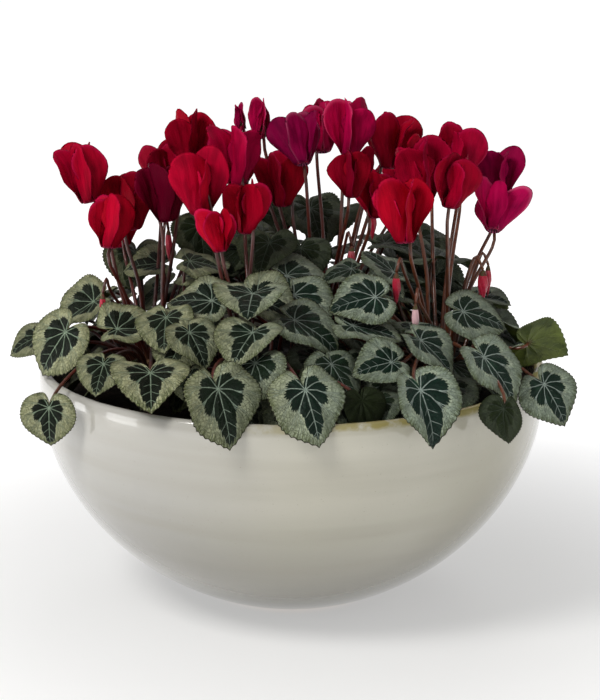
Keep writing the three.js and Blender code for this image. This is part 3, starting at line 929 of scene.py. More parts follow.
@finish(Specular_IOR_Level=0.4, Roughness=0.38, Sheen_Weight=0.2)
def bud_finish(paint):
    """Furled petals: crimson with a pink bloom along the twist and, on young buds, a white base."""
    across, along = paint.sheet_place("petal")
    pale = paint.attribute("tint")
    streaks = paint.grain(paint.joined(across * 12, along * 2, pale * 5), 2.0, 3.0)
    red = paint.layers(
        seen(178, 8, 44),
        (seen(214, 44, 104), paint.rise(0.45, 0.8, streaks) * 0.6),
        (bpy.context.scene.cyclamen_flower.maroon, paint.rise(0.5, 1.0, along) * 0.4),
        (seen(232, 196, 200), paint.rise(0.3, 0.8, pale + 0.35 * (streaks - 0.5) - 0.25 * along) * 0.85),
    )
    paint.feed(Base_Color=red)
    paint.relief(streaks, 0.0004)


# Meshes


def meshed(name, bm):
    """A mesh made from a bmesh, which is freed."""
    mesh = bpy.data.meshes.new(name)
    bm.to_mesh(mesh)
    bm.free()
    return mesh


def finished(name, nodes, bm, slot, *finishes):
    """Turns a bmesh into a piece that rides on the only body and stands for the nodes."""
    for face in bm.faces:
        face.smooth = True
    mesh = meshed(name, bm)
    for material in finishes:
        mesh.materials.append(material())
    piece = bpy.data.objects.new(name, mesh)
    bpy.context.scene.collection.objects.link(piece)
    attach(piece, "root")
    if nodes:
        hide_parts(*nodes)


def merge(bm, part):
    """Adds a part to a bmesh, and frees the part."""
    scrap = meshed("part", part)
    bm.from_mesh(scrap)
    bpy.data.meshes.remove(scrap)


def marked(bm, values, first=0):
    """Gives the corners of a bmesh, from the first one on, the same named numbers."""
    for name, value in values.items():
        layer = bm.verts.layers.float.get(name) or bm.verts.layers.float.new(name)
        bm.verts.ensure_lookup_table()
        for corner in bm.verts[first:]:
            corner[layer] = value


def placed(bm, mesh, places):
    """Adds a mesh to a bmesh with its corners at the given places."""
    first = len(bm.verts)
    bm.from_mesh(mesh)
    bm.verts.ensure_lookup_table()
    for corner, place in zip(bm.verts[first:], places):
        corner.co = place


def corners_of(mesh):
    """The places of a mesh's corners as an array."""
    return np.array([corner.co for corner in mesh.vertices])


def laid_out(bm, name, spot):
    """Gives a bmesh a UV map, where a function of a corner's place tells its spot."""
    uv = bm.loops.layers.uv.new(name)
    for face in bm.faces:
        for loop in face.loops:
            loop[uv].uv = spot(loop.vert.co)


def sheet_spot(co):
    """The spot of a corner of a flat sheet on its UV map."""
    return co.x / 2 + 0.5, co.y / 2 + 0.5


def spun(bm, profile, steps):
    """Spins a profile of (radius, height), which starts and ends on the Z axis, into a closed shell."""
    corners = [bm.verts.new((radius, 0, height)) for radius, height in profile]
    edges = [bm.edges.new(pair) for pair in zip(corners, corners[1:])]
    bmesh.ops.spin(
        bm, geom=corners + edges, cent=(0, 0, 0), axis=(0, 0, 1), angle=TURN, steps=steps, use_merge=True
    )
    bmesh.ops.remove_doubles(bm, verts=bm.verts, dist=1e-7)
    bmesh.ops.recalc_face_normals(bm, faces=bm.faces)


def plate(rings, sectors):
    """A round plate of radius 1, closed at its rim like a lens. Its face is at +1 and its back at -1."""
    bm = bmesh.new()
    radii = [1 - (1 - ring / rings) ** 1.25 for ring in range(rings + 1)]
    face = [(radius, 1 - radius**6) for radius in radii]
    back = [(radius, -height) for radius, height in reversed(face[:-1])]
    spun(bm, face + back, sectors)
    return bm


def curve_through(points, spots):
    """Places on a smooth curve through points, at an array of spots: 0 is the first point, 1 the second."""
    points = np.array(points)
    rows = np.array([2 * points[0] - points[1], *points, 2 * points[-1] - points[-2]])
    first = np.minimum(spots.astype(int), len(points) - 2)
    t = (spots - first)[:, None]
    before, start, end, after = (rows[first + k] for k in range(4))
    linear = (end - before) * t
    square = (2 * before - 5 * start + 4 * end - after) * t**2
    cube = (3 * start - before - 3 * end + after) * t**3
    return 0.5 * (2 * start + linear + square + cube)


def path_through(points, steps):
    """Points along a smooth curve through all of the given ones, about evenly spaced."""
    spans = [(after - before).length for before, after in zip(points, points[1:])]
    counts = [max(2, round(steps * span / sum(spans))) for span in spans]
    spots = [k + step / count for k, count in enumerate(counts) for step in range(count)]
    return [Vector(row) for row in curve_through(points, np.array([*spots, len(spans)]))]


def add_rod(bm, path, radius, taper, material):
    """Adds a tapered round rod: a ring is extruded along a path, and both ends are closed."""
    rod = bmesh.new()
    last = len(path) - 1
    ways = [(path[min(k + 1, last)] - path[max(k - 1, 0)]).normalized() for k in range(len(path))]
    turn = ways[0].to_track_quat("Z", "X")
    places = []
    for k, way in enumerate(ways):
        if k:
            turn = ways[k - 1].rotation_difference(way) @ turn
        share = taper[0] + (taper[1] - taper[0]) * k / last
        places.append(Matrix.LocRotScale(path[k], turn, Vector((radius * share,) * 3)))
    bmesh.ops.create_circle(rod, cap_ends=True, segments=ROD_SIDES, radius=1, matrix=places[0])
    edges = list(rod.edges)
    for before, place in zip(places, places[1:]):
        made = bmesh.ops.extrude_edge_only(rod, edges=edges)["geom"]
        corners = {item for item in made if isinstance(item, bmesh.types.BMVert)}
        edges = [item for item in made if isinstance(item, bmesh.types.BMEdge)]
        edges = [edge for edge in edges if corners.issuperset(edge.verts)]
        bmesh.ops.transform(rod, matrix=place @ before.inverted(), verts=list(corners))
    bmesh.ops.edgeloop_fill(rod, edges=edges)
    bmesh.ops.recalc_face_normals(rod, faces=rod.faces)
    for face in rod.faces:
        face.material_index = material
    merge(bm, rod)


def numbered(piece, node, held, rows, before=0):
    """The name, nodes and row of each piece. Only those held by the frame stand for a node."""
    for number, row in enumerate(rows, before + 1):
        yield f"{piece}_{number:02d}", (f"{node}_{number:02d}",) if number <= held else (), row


# The bowl and what fills it


def bowl_radius(z):
    """The bowl's outer radius at a height, a little over an ellipse below the belly."""
    if z > BELLY_Z:
        return RIM_R - RIM_IN * ((z - BELLY_Z) / (BOWL_H - BELLY_Z)) ** 2
    below = FOOT_R / RIM_R
    depth = BELLY_Z / (1 - below**BELLY_POWER) ** (1 / BELLY_POWER)
    return RIM_R * (1 - ((BELLY_Z - z) / depth) ** BELLY_POWER) ** (1 / BELLY_POWER)


def bowl_profile(wall):
    """The bowl's section, from the middle of the foot out, up the side, over the rim and down the inside."""
    lip = wall / 2
    middle = bowl_radius(BOWL_H) - lip
    shares = [(k + 1) / BELLY_STEPS for k in range(BELLY_STEPS)]
    heights = [BELLY_Z * (1 - math.cos(TURN / 4 * share)) for share in shares]
    foot = [(0, FOOT_SECTION[0][1] * MM), *((FOOT_R - into * MM, up * MM) for into, up in FOOT_SECTION)]
    outside = [(bowl_radius(z), z) for z in (*heights, *UPPER_SIDE, BOWL_H - lip)]
    bends = [math.radians(angle) for angle in RIM_BENDS]
    rim = [(middle + lip * math.cos(bend), BOWL_H - lip + lip * math.sin(bend)) for bend in bends]
    inside = [(bowl_radius(z) - wall, z + FLOOR * (1 - z / BELLY_Z)) for z in reversed(heights[1::2])]
    return [*foot, *outside, *rim, *inside, (FOOT_R - wall, FLOOR), (0, FLOOR)]


class CYCLAMEN_OT_bowl(bpy.types.Operator):
    """Makes the glazed bowl."""

    bl_idname = "cyclamen.bowl"
    bl_label = "Bowl"

    def execute(self, context):
        wall = context.scene.cyclamen_bowl.wall
        bm = bmesh.new()
        spun(bm, bowl_profile(wall), BOWL_SECTORS)
        for corner in bm.verts:
            ripple = abs(waves(corner.co, SIDE_WAVES))
            out = Vector((corner.co.x, corner.co.y, 0))
            if out.length > EVEN_R:
                corner.co -= out.normalized() * ripple
            if corner.co.z > BOWL_H - wall:
                corner.co.z -= abs(waves(corner.co, RIM_WAVES))
        finished("glazed_bowl", ("bowl",), bm, "glaze", glaze_finish)
        return {"FINISHED"}


def from_tuber(tuber, x, y):
    """How far a place is from the axis of a tuber."""
    middle = TUBERS[tuber][0]
    return math.hypot(x - middle.x, y - middle.y)


def soil_height(x, y):
    """The soil's surface: nearly level, lumpy, and dished round each tuber."""
    fall = smooth(SOIL_FLAT_R, bowl_radius(SOIL_EDGE_Z), math.hypot(x, y))
    height = SOIL_TOP - (SOIL_TOP - SOIL_EDGE_Z) * fall + waves(Vector((x, y, 0)), SOIL_WAVES)
    for tuber, (middle, radius, half) in TUBERS.items():
        share = from_tuber(tuber, x, y) / radius
        if share < 1:
            height = min(height, middle.z - half * math.sqrt(1 - share * share) - TUBER_DISH)
    return height


class CYCLAMEN_OT_soil(bpy.types.Operator):
    """Makes the potting mix and its loose crumbs."""

    bl_idname = "cyclamen.soil"
    bl_label = "Soil"

    def execute(self, context):
        settings = context.scene.cyclamen_bowl
        bm = bmesh.new()
        rings, sectors = SOIL_DIVISIONS
        edge = bowl_radius(SOIL_EDGE_Z) - settings.wall - SOIL_GAP
        top = [(edge * math.sqrt(k / rings), SOIL_EDGE_Z) for k in range(rings + 1)]
        heights = [SOIL_EDGE_Z - SOIL_STEP * (k + 1) for k in range(SOIL_STEPS)]
        side = [(bowl_radius(z) - settings.wall - SOIL_LOWER_GAP, z) for z in heights]
        bottom = FLOOR + 1 * MM
        spun(bm, [*top, *side, (FOOT_R - 2 * settings.wall, bottom), (0, bottom)], sectors)
        for corner in bm.verts:
            if corner.co.z > SOIL_EDGE_Z - 0.1 * MM:
                corner.co.z = soil_height(corner.co.x, corner.co.y)
        self.strew(bm, settings.crumbs, edge - CRUMB_INSET)
        finished("potting_soil", ("soil",), bm, "soil", soil_finish)
        return {"FINISHED"}

    def strew(self, bm, crumbs, reach):
        """Strews crumbs of many sizes over the soil, clear of the tubers."""
        chance = random.Random(CRUMB_SEED)
        for _ in range(crumbs):
            turn, radius = chance.uniform(0, TURN), reach * math.sqrt(chance.random())
            size = chance.uniform(0.8, 2.4) * MM
            x, y = radius * math.cos(turn), radius * math.sin(turn)
            if min(from_tuber(tuber, x, y) for tuber in TUBERS) < CRUMB_CLEARANCE:
                continue
            squash = Vector((size, size * chance.uniform(0.6, 1), size * chance.uniform(0.4, 0.8)))
            spin, tip = chance.uniform(0, TURN), chance.uniform(-0.6, 0.6)
            place = Matrix.LocRotScale(Vector((x, y, soil_height(x, y))), Euler((tip, 0, spin)), squash)
            bmesh.ops.create_icosphere(bm, subdivisions=1, radius=1, matrix=place)


class CYCLAMEN_OT_tubers(bpy.types.Operator):
    """Makes the corky tubers."""

    bl_idname = "cyclamen.tubers"
    bl_label = "Tubers"

    def execute(self, context):
        rings, sectors = TUBER_DIVISIONS
        for tuber, (middle, radius, half) in TUBERS.items():
            bm = bmesh.new()
            bmesh.ops.create_uvsphere(bm, u_segments=sectors, v_segments=rings, radius=1)
            for corner in bm.verts:
                lumps = 0.035 * noise.noise(corner.co * 3 + middle * 50) + 0.02 * noise.noise(corner.co * 9)
                crown = 0.05 * max(0, corner.co.z) * noise.noise(corner.co * 14)
                size = Vector((radius, radius, half)) * 0.98 * (1 + lumps + crown)
                corner.co = middle + size * corner.co
            finished("tuber_skin_" + tuber, ("tuber_" + tuber,), bm, "tuber", tuber_finish)
        return {"FINISHED"}


# Where stalks and stems stand


def crown_turns(rows, ring):
    """The side of its tuber that each stalk stands on: the side it leans to, and neighbours push apart."""
    turns = [0.0] * len(rows)
    for tuber, (middle, _, _) in TUBERS.items():
        leans = [(index, point(row.at) - middle) for index, row in enumerate(rows) if row.tuber == tuber]
        mine = sorted([math.atan2(lean.y, lean.x), index] for index, lean in leans)
        for _ in range(PUSH_PASSES):
            for k, foot in enumerate(mine):
                after = mine[(k + 1) % len(mine)]
                lap = TURN if k + 1 == len(mine) else 0
                short = FOOT_SPACING / ring - (after[0] + lap - foot[0])
                if short > 0:
                    foot[0] -= short / 2
                    after[0] += short / 2
        for turn, index in mine:
            turns[index] = turn
    return turns


def crown_feet(rows, ring):
    """The foot of each row's stalk on the crown of its tuber, and the way it grows from there."""
    feet = []
    for row, turn in zip(rows, crown_turns(rows, ring)):
        middle, radius, half = TUBERS[row.tuber]
        out = Vector((math.cos(turn), math.sin(turn), 0)) * ring
        rise = half * math.sqrt(1 - (ring / radius) ** 2)
        skin = Vector((out.x / radius**2, out.y / radius**2, rise / half**2)).normalized()
        feet.append((middle + out + Vector((0, 0, rise)), skin))
    return feet


def stem_feet():
    """The feet of all the flowers' stems, and those of the buds'."""
    held = crown_feet([*FLOWERS, *BUDS], FLOWER_RING)
    more = crown_feet([*MORE_FLOWERS, *MORE_BUDS], SPARE_FLOWER_RING)
    flowers = held[: len(FLOWERS)] + more[: len(MORE_FLOWERS)]
    return flowers, held[len(FLOWERS) :] + more[len(MORE_FLOWERS) :]


def stem_path(foot, aim, hook, radius, steps):
    """The way of a stem from its foot, in a bow towards its aim, and through the points of its hook."""
    root, away = foot
    bow = root.lerp(aim, BOW_SHARE) + Vector((0, 0, BOW_RISE))
    straight = root + away * STRAIGHT_RADII * radius
    return path_through([root - away * FOOT_DEPTH, straight, bow, *hook], steps)


# Flowers and buds

PETAL_WAY = curve_through(PETAL_LINE, np.linspace(0, len(PETAL_LINE) - 1, 90))
PETAL_STEPS = np.concatenate([[0], np.cumsum(np.hypot(*np.diff(PETAL_WAY, axis=0).T))])


def petal_line(share):
    """The petal's middle line at shares of its length."""
    reached = np.clip(share, 0, 1) * PETAL_STEPS[-1]
    return np.stack([np.interp(reached, PETAL_STEPS, PETAL_WAY[:, k]) for k in range(2)], 1)


def petal_corners(disc, height, azimuth, splay, twist, chance, thickness):
    """The corners of a round plate, bent to one swept-back, twisted petal in the flower's own frame."""
    across, along, layer = disc.T
    share = (along + 1) / 2
    upper = smooth(0.2, 1, share)

    # The middle line leans out, curls at the tip, and is a little longer or shorter
    line = petal_line(share) * height
    lean = splay + chance.uniform(-0.07, 0.07)
    curl = chance.uniform(-0.08, 0.14) * smooth(0.7, 1, share)
    stretch = chance.uniform(0.82, 1.05)
    line[:, 0] += (lean * upper + curl) * height
    line[:, 1] *= np.where(line[:, 1] > 0, stretch, 1)
    step = petal_line(share + 0.02) - petal_line(share - 0.02)
    step[:, 0] += lean * step[:, 1]
    step /= np.linalg.norm(step, axis=1)[:, None]

    # The width grows upwards, and its edges are a little uneven
    phase = chance.uniform(0, TURN)
    width = (0.13 + 0.25 * smooth(0.1, 0.8, share)) * chance.uniform(0.9, 1.08) * (1 + 3.5 * min(0, splay))
    width *= 1 + 0.04 * np.sin(9 * share + phase + 2 * np.sign(across)) * smooth(0.3, 0.6, share)
    sideways = across * width * height

    # The petal turns about its own line as it rises
    facing = azimuth + (twist + chance.uniform(-0.12, 0.12)) * smooth(0.02, 0.5, share)
    radial = np.array([math.cos(azimuth), math.sin(azimuth), 0])
    lateral = np.stack([-np.sin(facing), np.cos(facing), 0 * share], 1)
    outward = np.stack([np.cos(facing), np.sin(facing), 0 * share], 1)
    tangent = outward * step[:, :1] + np.array([0, 0, 1]) * step[:, 1:]
    normal = np.cross(lateral, tangent)

    # It wraps round the mouth below, and above it is creased, waved and ruffled
    wrap = 2.2 * smooth(0.7, 0.1, share) + chance.uniform(-0.25, 0.35) * upper
    crest = chance.choice((-0.14, 0.14, 0.24, 0.32)) * smooth(0.2, 0.6, share) * smooth(1.15, 0.8, share)
    ridge = sideways - chance.uniform(-0.2, 0.2) * 0.25 * height
    wave = chance.uniform(0.015, 0.04) * across * np.sin(5 * share + 2.5 * across + phase)
    ruffle = 0.03 * across**2 * np.sin(11 * share + 2 * phase)
    ruffle += 0.009 * np.sin(14 * across + 3 * share + phase)
    off = -wrap * sideways**2 / height - crest * (np.hypot(ridge, 0.02 * height) - 0.02 * height)
    off += (wave + ruffle) * height * smooth(0.15, 0.5, share) + layer * thickness / 2
    spine = np.outer(line[:, 0], radial) + np.outer(line[:, 1], [0, 0, 1])
    return spine + lateral * sideways[:, None] + normal * off[:, None]


def petal_blank():
    """The flat round plate that every petal is bent from."""
    bm = plate(*PETAL_DIVISIONS)
    laid_out(bm, "petal", sheet_spot)
    return meshed("petal_blank", bm)


def make_throat(height):
    """The rolled mouth of a flower, its calyx and its style."""
    bm = bmesh.new()
    spun(bm, [(radius * height, z * height) for radius, z in THROAT], THROAT_SECTORS)

    def spot(co):
        out = math.hypot(co.x, co.y)
        outside = out > OUTER_R * height and co.z > OUTER_LOW * height
        return math.atan2(co.y, co.x) / TURN + 0.5, 1 if outside else 0.9 * out / (LIP_R * height)

    laid_out(bm, "petal", spot)
    for face in bm.faces:
        face.material_index = 2 if face.calc_center_median().z > CALYX_LOW * height else 1
    for corner in bm.verts:
        around = math.atan2(corner.co.y, corner.co.x)
        lobes = 1 + 0.05 * math.cos(PETALS * around) * smooth(0.05, 0.0, corner.co.z / height)
        corner.co.x *= lobes
        corner.co.y *= lobes
    style = {side: share * height for side, share in STYLE.items()}
    place = Matrix.Translation((0, 0, STYLE_Z * height))
    bmesh.ops.create_cone(bm, cap_ends=True, segments=8, matrix=place, **style)
    return bm


def flower_frame(mouth, foot, lean, spin, tipped):
    """A flower's own frame: Z up its axis, X through the gap between petals that is nearest to its stem."""
    axis = Vector((math.sin(math.radians(lean)), 0, math.cos(math.radians(lean))))
    axis.rotate(Matrix.Rotation(math.radians(-tipped), 3, "X"))
    front = (Vector((0, -1, 0)) + axis * axis.y).normalized()
    turns = [math.radians(spin) + TURN / PETALS * k for k in range(PETALS)]
    gaps = [Matrix.Rotation(turn, 3, axis) @ front for turn in turns]
    side = max(gaps, key=(foot - mouth).dot)
    across = axis.cross(side).normalized()
    turned = Matrix((across.cross(axis), across, axis)).transposed().to_4x4()
    return Matrix.Translation(mouth) @ turned


def make_flower(name, nodes, flower, foot, blank, settings):
    """Makes one flower: its petals, mouth, calyx and hooked stem in one piece."""
    height = flower.height * FLOWER_GROWTH * MM
    mouth = point(flower.at)
    place = flower_frame(mouth, foot[0], flower.lean, flower.spin, TIPPED_BACK.get(name, TIPPED))
    turned, middle = np.array(place.to_3x3()).T, np.array(mouth)
    disc = corners_of(blank)
    chance = random.Random(name)
    twist = chance.uniform(0.75, 1.0) * chance.choice((-1, 1))
    bm = bmesh.new()
    for k in range(PETALS):
        azimuth = (k + 0.5) * TURN / PETALS
        corners = petal_corners(disc, height, azimuth, flower.splay, twist, chance, settings.petal)
        first = len(bm.verts)
        placed(bm, blank, corners @ turned + middle)
        # Each petal's magenta, its darkness, which is partly painted shade, and its seed.
        tint = flower.tint + chance.uniform(-0.1, 0.1)
        shade = flower.shade + chance.uniform(-0.05, 0.2)
        marked(bm, {"tint": tint, "shade": shade, "seed": chance.random()}, first)
    throat = make_throat(height)
    bmesh.ops.transform(throat, matrix=place, verts=throat.verts)
    merge(bm, throat)
    hook = [place @ Vector((out * height, 0, up * height)) for out, up in HOOK]
    path = stem_path(foot, mouth, hook, settings.stem, FLOWER_STEM_STEPS)
    add_rod(bm, path, settings.stem, FLOWER_TAPER, 3)
    finished(name, nodes, bm, "petal", petal_finish, throat_finish, calyx_finish, stalk_finish)


def make_bud(name, nodes, bud, foot, settings):
    """Makes one bud: furled petals, calyx and hooked stem in one piece."""
    top = point(bud.at)
    outward = ((top - foot[0]) * Vector((1, 1, 0))).normalized() * BUD_HOOK
    root = top + outward - Vector((0, 0, 2 * BUD_HOOK - 1 * MM))
    girth = BUD_R + BUD_OPENING * bud.opened
    rings, sectors = BUD_DIVISIONS
    bm = bmesh.new()
    bmesh.ops.create_uvsphere(bm, u_segments=sectors, v_segments=rings, radius=1)
    laid_out(bm, "petal", lambda co: (math.atan2(co.y, co.x) / TURN + 0.5, 0.5 - co.z / 2))
    for corner in bm.verts:
        x, y, z = corner.co
        blunt = 0.92 * (1 - (-z) ** 1.3) ** 0.55 if z < 0 else 1
        belly = girth * blunt * (1 + 0.09 * math.cos(PETALS * (math.atan2(y, x) + z)))
        corner.co = root + Vector((x * belly, y * belly, (z - 1) * BUD_LENGTH / 2))
    for face in bm.faces:
        face.material_index = 1 if root.z - face.calc_center_median().z < BUD_CALYX else 0
    bend = top - outward - Vector((0, 0, 2 * BUD_HOOK))
    path = stem_path(foot, bend, [bend, top, root], settings.stem, BUD_STEM_STEPS)
    add_rod(bm, path, settings.stem, BUD_TAPER, 2)
    marked(bm, {"tint": bud.pale, "seed": random.Random(name).random()})
    finished(name, nodes, bm, "petal", bud_finish, calyx_finish, stalk_finish)


class CYCLAMEN_OT_flowers(bpy.types.Operator):
    """Makes the flowers, those that the frame holds and some more."""

    bl_idname = "cyclamen.flowers"
    bl_label = "Flowers"

    def execute(self, context):
        blank = petal_blank()
        rows = numbered("bloom", "flower", len(FLOWERS), [*FLOWERS, *MORE_FLOWERS])
        for foot, row in zip(stem_feet()[0], rows):
            make_flower(*row, foot, blank, context.scene.cyclamen_flower)
        bpy.data.meshes.remove(blank)
        return {"FINISHED"}


class CYCLAMEN_OT_buds(bpy.types.Operator):
    """Makes the nodding buds."""

    bl_idname = "cyclamen.buds"
    bl_label = "Buds"

    def execute(self, context):
        rows = numbered("nodding_bud", "bud", len(BUDS), [*BUDS, *MORE_BUDS])
        for foot, row in zip(stem_feet()[1], rows):
            make_bud(*row, foot, context.scene.cyclamen_flower)
        return {"FINISHED"}


# Leaves


def heart_reach(turn):
    """How far a heart's edge is from the stalk, as a share of the length, at an angle from the tip."""
    from_tip = np.degrees(np.abs(turn))
    tip = (TIP_REACH - LOBE_REACH) * np.exp(-((from_tip / TIP_SPAN) ** 1.15))
    notch = NOTCH_DEPTH * np.exp(-(((180 - from_tip) / NOTCH_SPAN) ** 2))
    fall = LOBE_FALL * ((1 - np.cos(turn)) / 2) ** 2
    return LOBE_REACH - fall + tip - notch


def blade_blank(rings, sectors, teeth):
    """A flat heart-shaped blade of length 1 with fine teeth, which every leaf is bent from."""
    bm = plate(rings, sectors)
    for side in bm.faces:
        side.material_index = 0 if side.calc_center_median().z > 0 else 1
    share = bm.verts.layers.float.new("share")
    for corner in bm.verts:
        radius = math.hypot(corner.co.x, corner.co.y)
        turn = math.atan2(corner.co.y, corner.co.x)
        depth = teeth * (1 - 0.4 * max(0, math.cos(turn))) * smooth(0.82, 1, radius)
        tooth = 1 + depth * math.cos(turn * sectors / 2)
        warped = turn + 0.55 * math.sin(turn)
        reach = radius * tooth * heart_reach(warped)
        corner[share] = radius
        corner.co = (reach * math.cos(warped), reach * math.sin(warped), corner.co.z)
    laid_out(bm, "blade", sheet_spot)
    return meshed("blade_blank", bm)


def blade_axes(leaf):
    """A blade's own axes: along the midrib, across, and up out of its face."""
    h, d, r = (math.radians(angle) for angle in (leaf.heading, leaf.droop, leaf.roll))
    midrib = Vector((math.cos(d) * math.cos(h), math.cos(d) * math.sin(h), -math.sin(d)))
    level = Vector((-math.sin(h), math.cos(h), 0))
    across = level * math.cos(r) + midrib.cross(level) * math.sin(r)
    return midrib, across, midrib.cross(across)


class Habit:
    """How one leaf departs from a plain domed blade: how it folds, waves and twists."""

    def __init__(self, number):
        chance = random.Random(HABIT_SEED + number)
        self.fold = chance.uniform(0.02, 0.46)
        self.wave = chance.uniform(0.03, 0.075)
        self.waves = chance.choice((3, 4, 5))
        self.phase = chance.uniform(0, TURN)
        self.curl = chance.uniform(0.0, 0.16)
        self.twist = chance.uniform(-0.12, 0.12)
        self.lobes = chance.uniform(-0.02, 0.16)
        self.tone = chance.random()
        self.seed = chance.random()


def bent(flat, leaf, habit, thickness):
    """The corners of a blank blade, bent to a leaf's own shape and put in its place."""
    forward, side, layer = flat.T
    reach = np.hypot(forward, side)
    turn = np.arctan2(side, forward)
    share = np.clip(reach / heart_reach(turn), 0, 1.02)
    height = -BLADE_DOME * reach**2 - TIP_DROOP * np.maximum(0, forward) ** 2
    height += habit.fold * (np.sqrt(side**2 + FOLD_SOFTNESS**2) - FOLD_SOFTNESS)
    height += habit.wave * share**2 * np.sin(habit.waves * turn + habit.phase)
    height += habit.lobes * np.maximum(0, -forward)
    height += habit.twist * forward * side
    height -= habit.curl * np.maximum(0, forward - 0.35) ** 2
    height -= EDGE_DROP * smooth(0.78, 1.0, share)
    start = np.abs(turn) + VEIN_BEND * reach * np.sin(np.abs(turn))
    apart = np.abs((start + VEIN_GAP / 2) % VEIN_GAP - VEIN_GAP / 2) * reach
    groove = GROOVE_DEPTH * np.exp(-((apart / GROOVE_WIDTH) ** 2))
    height -= groove * smooth(0.05, 0.3, reach) * smooth(1.0, 0.8, share)
    midrib, across, out = (np.array(axis) for axis in blade_axes(leaf))
    size = leaf.length * MM
    flatwise = np.outer(size * forward, midrib) + np.outer(size * BLADE_SPREAD * side, across)
    return np.array(point(leaf.at)) + flatwise + np.outer(size * height + layer * thickness / 2, out)


def stalk_path(leaf, foot):
    """The way of a leaf's stalk from its tuber to its blade."""
    midrib, _, out = blade_axes(leaf)
    root, away = foot
    steep = max(0, leaf.droop / 90)
    along, off = (flat + (hung - flat) * steep for flat, hung in zip(FLAT_ARRIVAL, STEEP_ARRIVAL))
    arrival = (midrib * along + out * off).normalized()
    span = (point(leaf.at) - root).length
    end = point(leaf.at) - out * STALK_TUCK
    first = root + away * min(FOOT_HANDLE[1], FOOT_HANDLE[0] * span)
    second = end - arrival * min(END_HANDLE[1], END_HANDLE[0] * span)
    return interpolate_bezier(root - away * FOOT_DEPTH, first, second, end, STALK_POINTS)


def make_leaf(name, nodes, leaf, habit, foot, blank, settings):
    """Makes one leaf, its blade and stalk in one piece."""
    bm = bmesh.new()
    placed(bm, blank, bent(corners_of(blank), leaf, habit, settings.thickness))
    path = stalk_path(leaf, foot)
    add_rod(bm, path, settings.stalk, LEAF_TAPER, 2)
    # The leaf's tone and seed, and the amount of painted shade on it.
    marked(bm, {"tone": habit.tone, "seed": habit.seed, "shade": leaf.shade})
    finished(name, nodes, bm, "leaf", leaf_face_finish, leaf_under_finish, stalk_finish)


def tree_of(places, sides):
    """A surface in a tree that finds what touches it, with its lowest and highest corner."""
    return BVHTree.FromPolygons(places.tolist(), sides), Vector(places.min(0)), Vector(places.max(0))


class Room:
    """What stands already, and a coarse blade to try whether one more leaf has room."""

    def __init__(self, scene):
        pieces = [piece.data for piece in scene.objects if piece.name.startswith(STANDING)]
        self.standing = [tree_of(corners_of(mesh), self.sides(mesh)) for mesh in pieces]
        blank = blade_blank(*TEST_DIVISIONS, 0)
        self.flat, self.blade_sides = corners_of(blank), self.sides(blank)
        bpy.data.meshes.remove(blank)

    def sides(self, mesh):
        """The corners of each face."""
        return [side.vertices[:] for side in mesh.polygons]

    def takes(self, leaf, habit):
        """Whether there is room for a leaf. If there is, it stands there from now on."""
        places = bent(self.flat, leaf, habit, TEST_THICKNESS)
        tree, low, high = tree_of(places, self.blade_sides)
        for other, other_low, other_high in self.standing:
            near = all(low[k] < other_high[k] and other_low[k] < high[k] for k in range(3))
            if near and tree.overlap(other):
                return False
        self.standing.append((tree, low, high))
        return True


def moved(leaf, number):
    """The leaf itself, and then moves to try when it finds no room, the smallest first."""
    chance = random.Random(number)
    for trial in range(SEAT_TRIALS):
        share = trial / SEAT_TRIALS
        yield leaf._replace(
            at=tuple(co + chance.uniform(-1, 1) * share * SEAT_REACH for co in leaf.at),
            heading=leaf.heading + chance.uniform(-1, 1) * share * SEAT_TURN,
            droop=leaf.droop + chance.uniform(-1, 1) * share * SEAT_TURN / 2,
            roll=leaf.roll * (1 - share),
        )


def seated(rows, room):
    """The rows, each moved a little where it has no room."""
    settled = []
    for k, row in enumerate(rows):
        habit = Habit(len(LEAVES) + k)
        leaf = next((trial for trial in moved(row, k) if room.takes(trial, habit)), None)
        if leaf:
            settled.append(leaf)
    return settled


def spares(wanted, number, room):
    """Leaves in the room that is left: over the back and sides, and lower down in the front."""
    chance = random.Random(SPARE_SEED)
    found = []
    for _ in range(SPARE_TRIALS):
        if len(found) == wanted:
            break
        turn = chance.uniform(0, TURN)
        radius = CANOPY_R * math.sqrt(chance.uniform(0.1, 1))
        x, y = radius * math.cos(turn), radius * math.sin(turn)
        low = LOWER_LAYER if y < -15 or chance.random() < 0.3 else 0
        z = CANOPY_TOP + 0.06 * max(0, y) - CANOPY_FALL * radius**2 - low + chance.uniform(-9, 5)
        leaf = Leaf(
            tuber=min(TUBERS, key=lambda tuber: from_tuber(tuber, x * MM, y * MM)),
            at=(x, y, z),
            heading=math.degrees(turn) + chance.uniform(-45, 45),
            droop=4 + 40 * (radius / 155) ** 2 + chance.uniform(-8, 12),
            length=chance.uniform(24, 33),
            roll=chance.uniform(-18, 18),
            # Painted shade: darker the further back a spare leaf stands, and in the lower layer.
            shade=min(0.65, 0.012 * max(0, y) + 0.03 * low * (y < 40)),
        )
        if room.takes(leaf, Habit(number + len(found))):
            found.append(leaf)
    return found


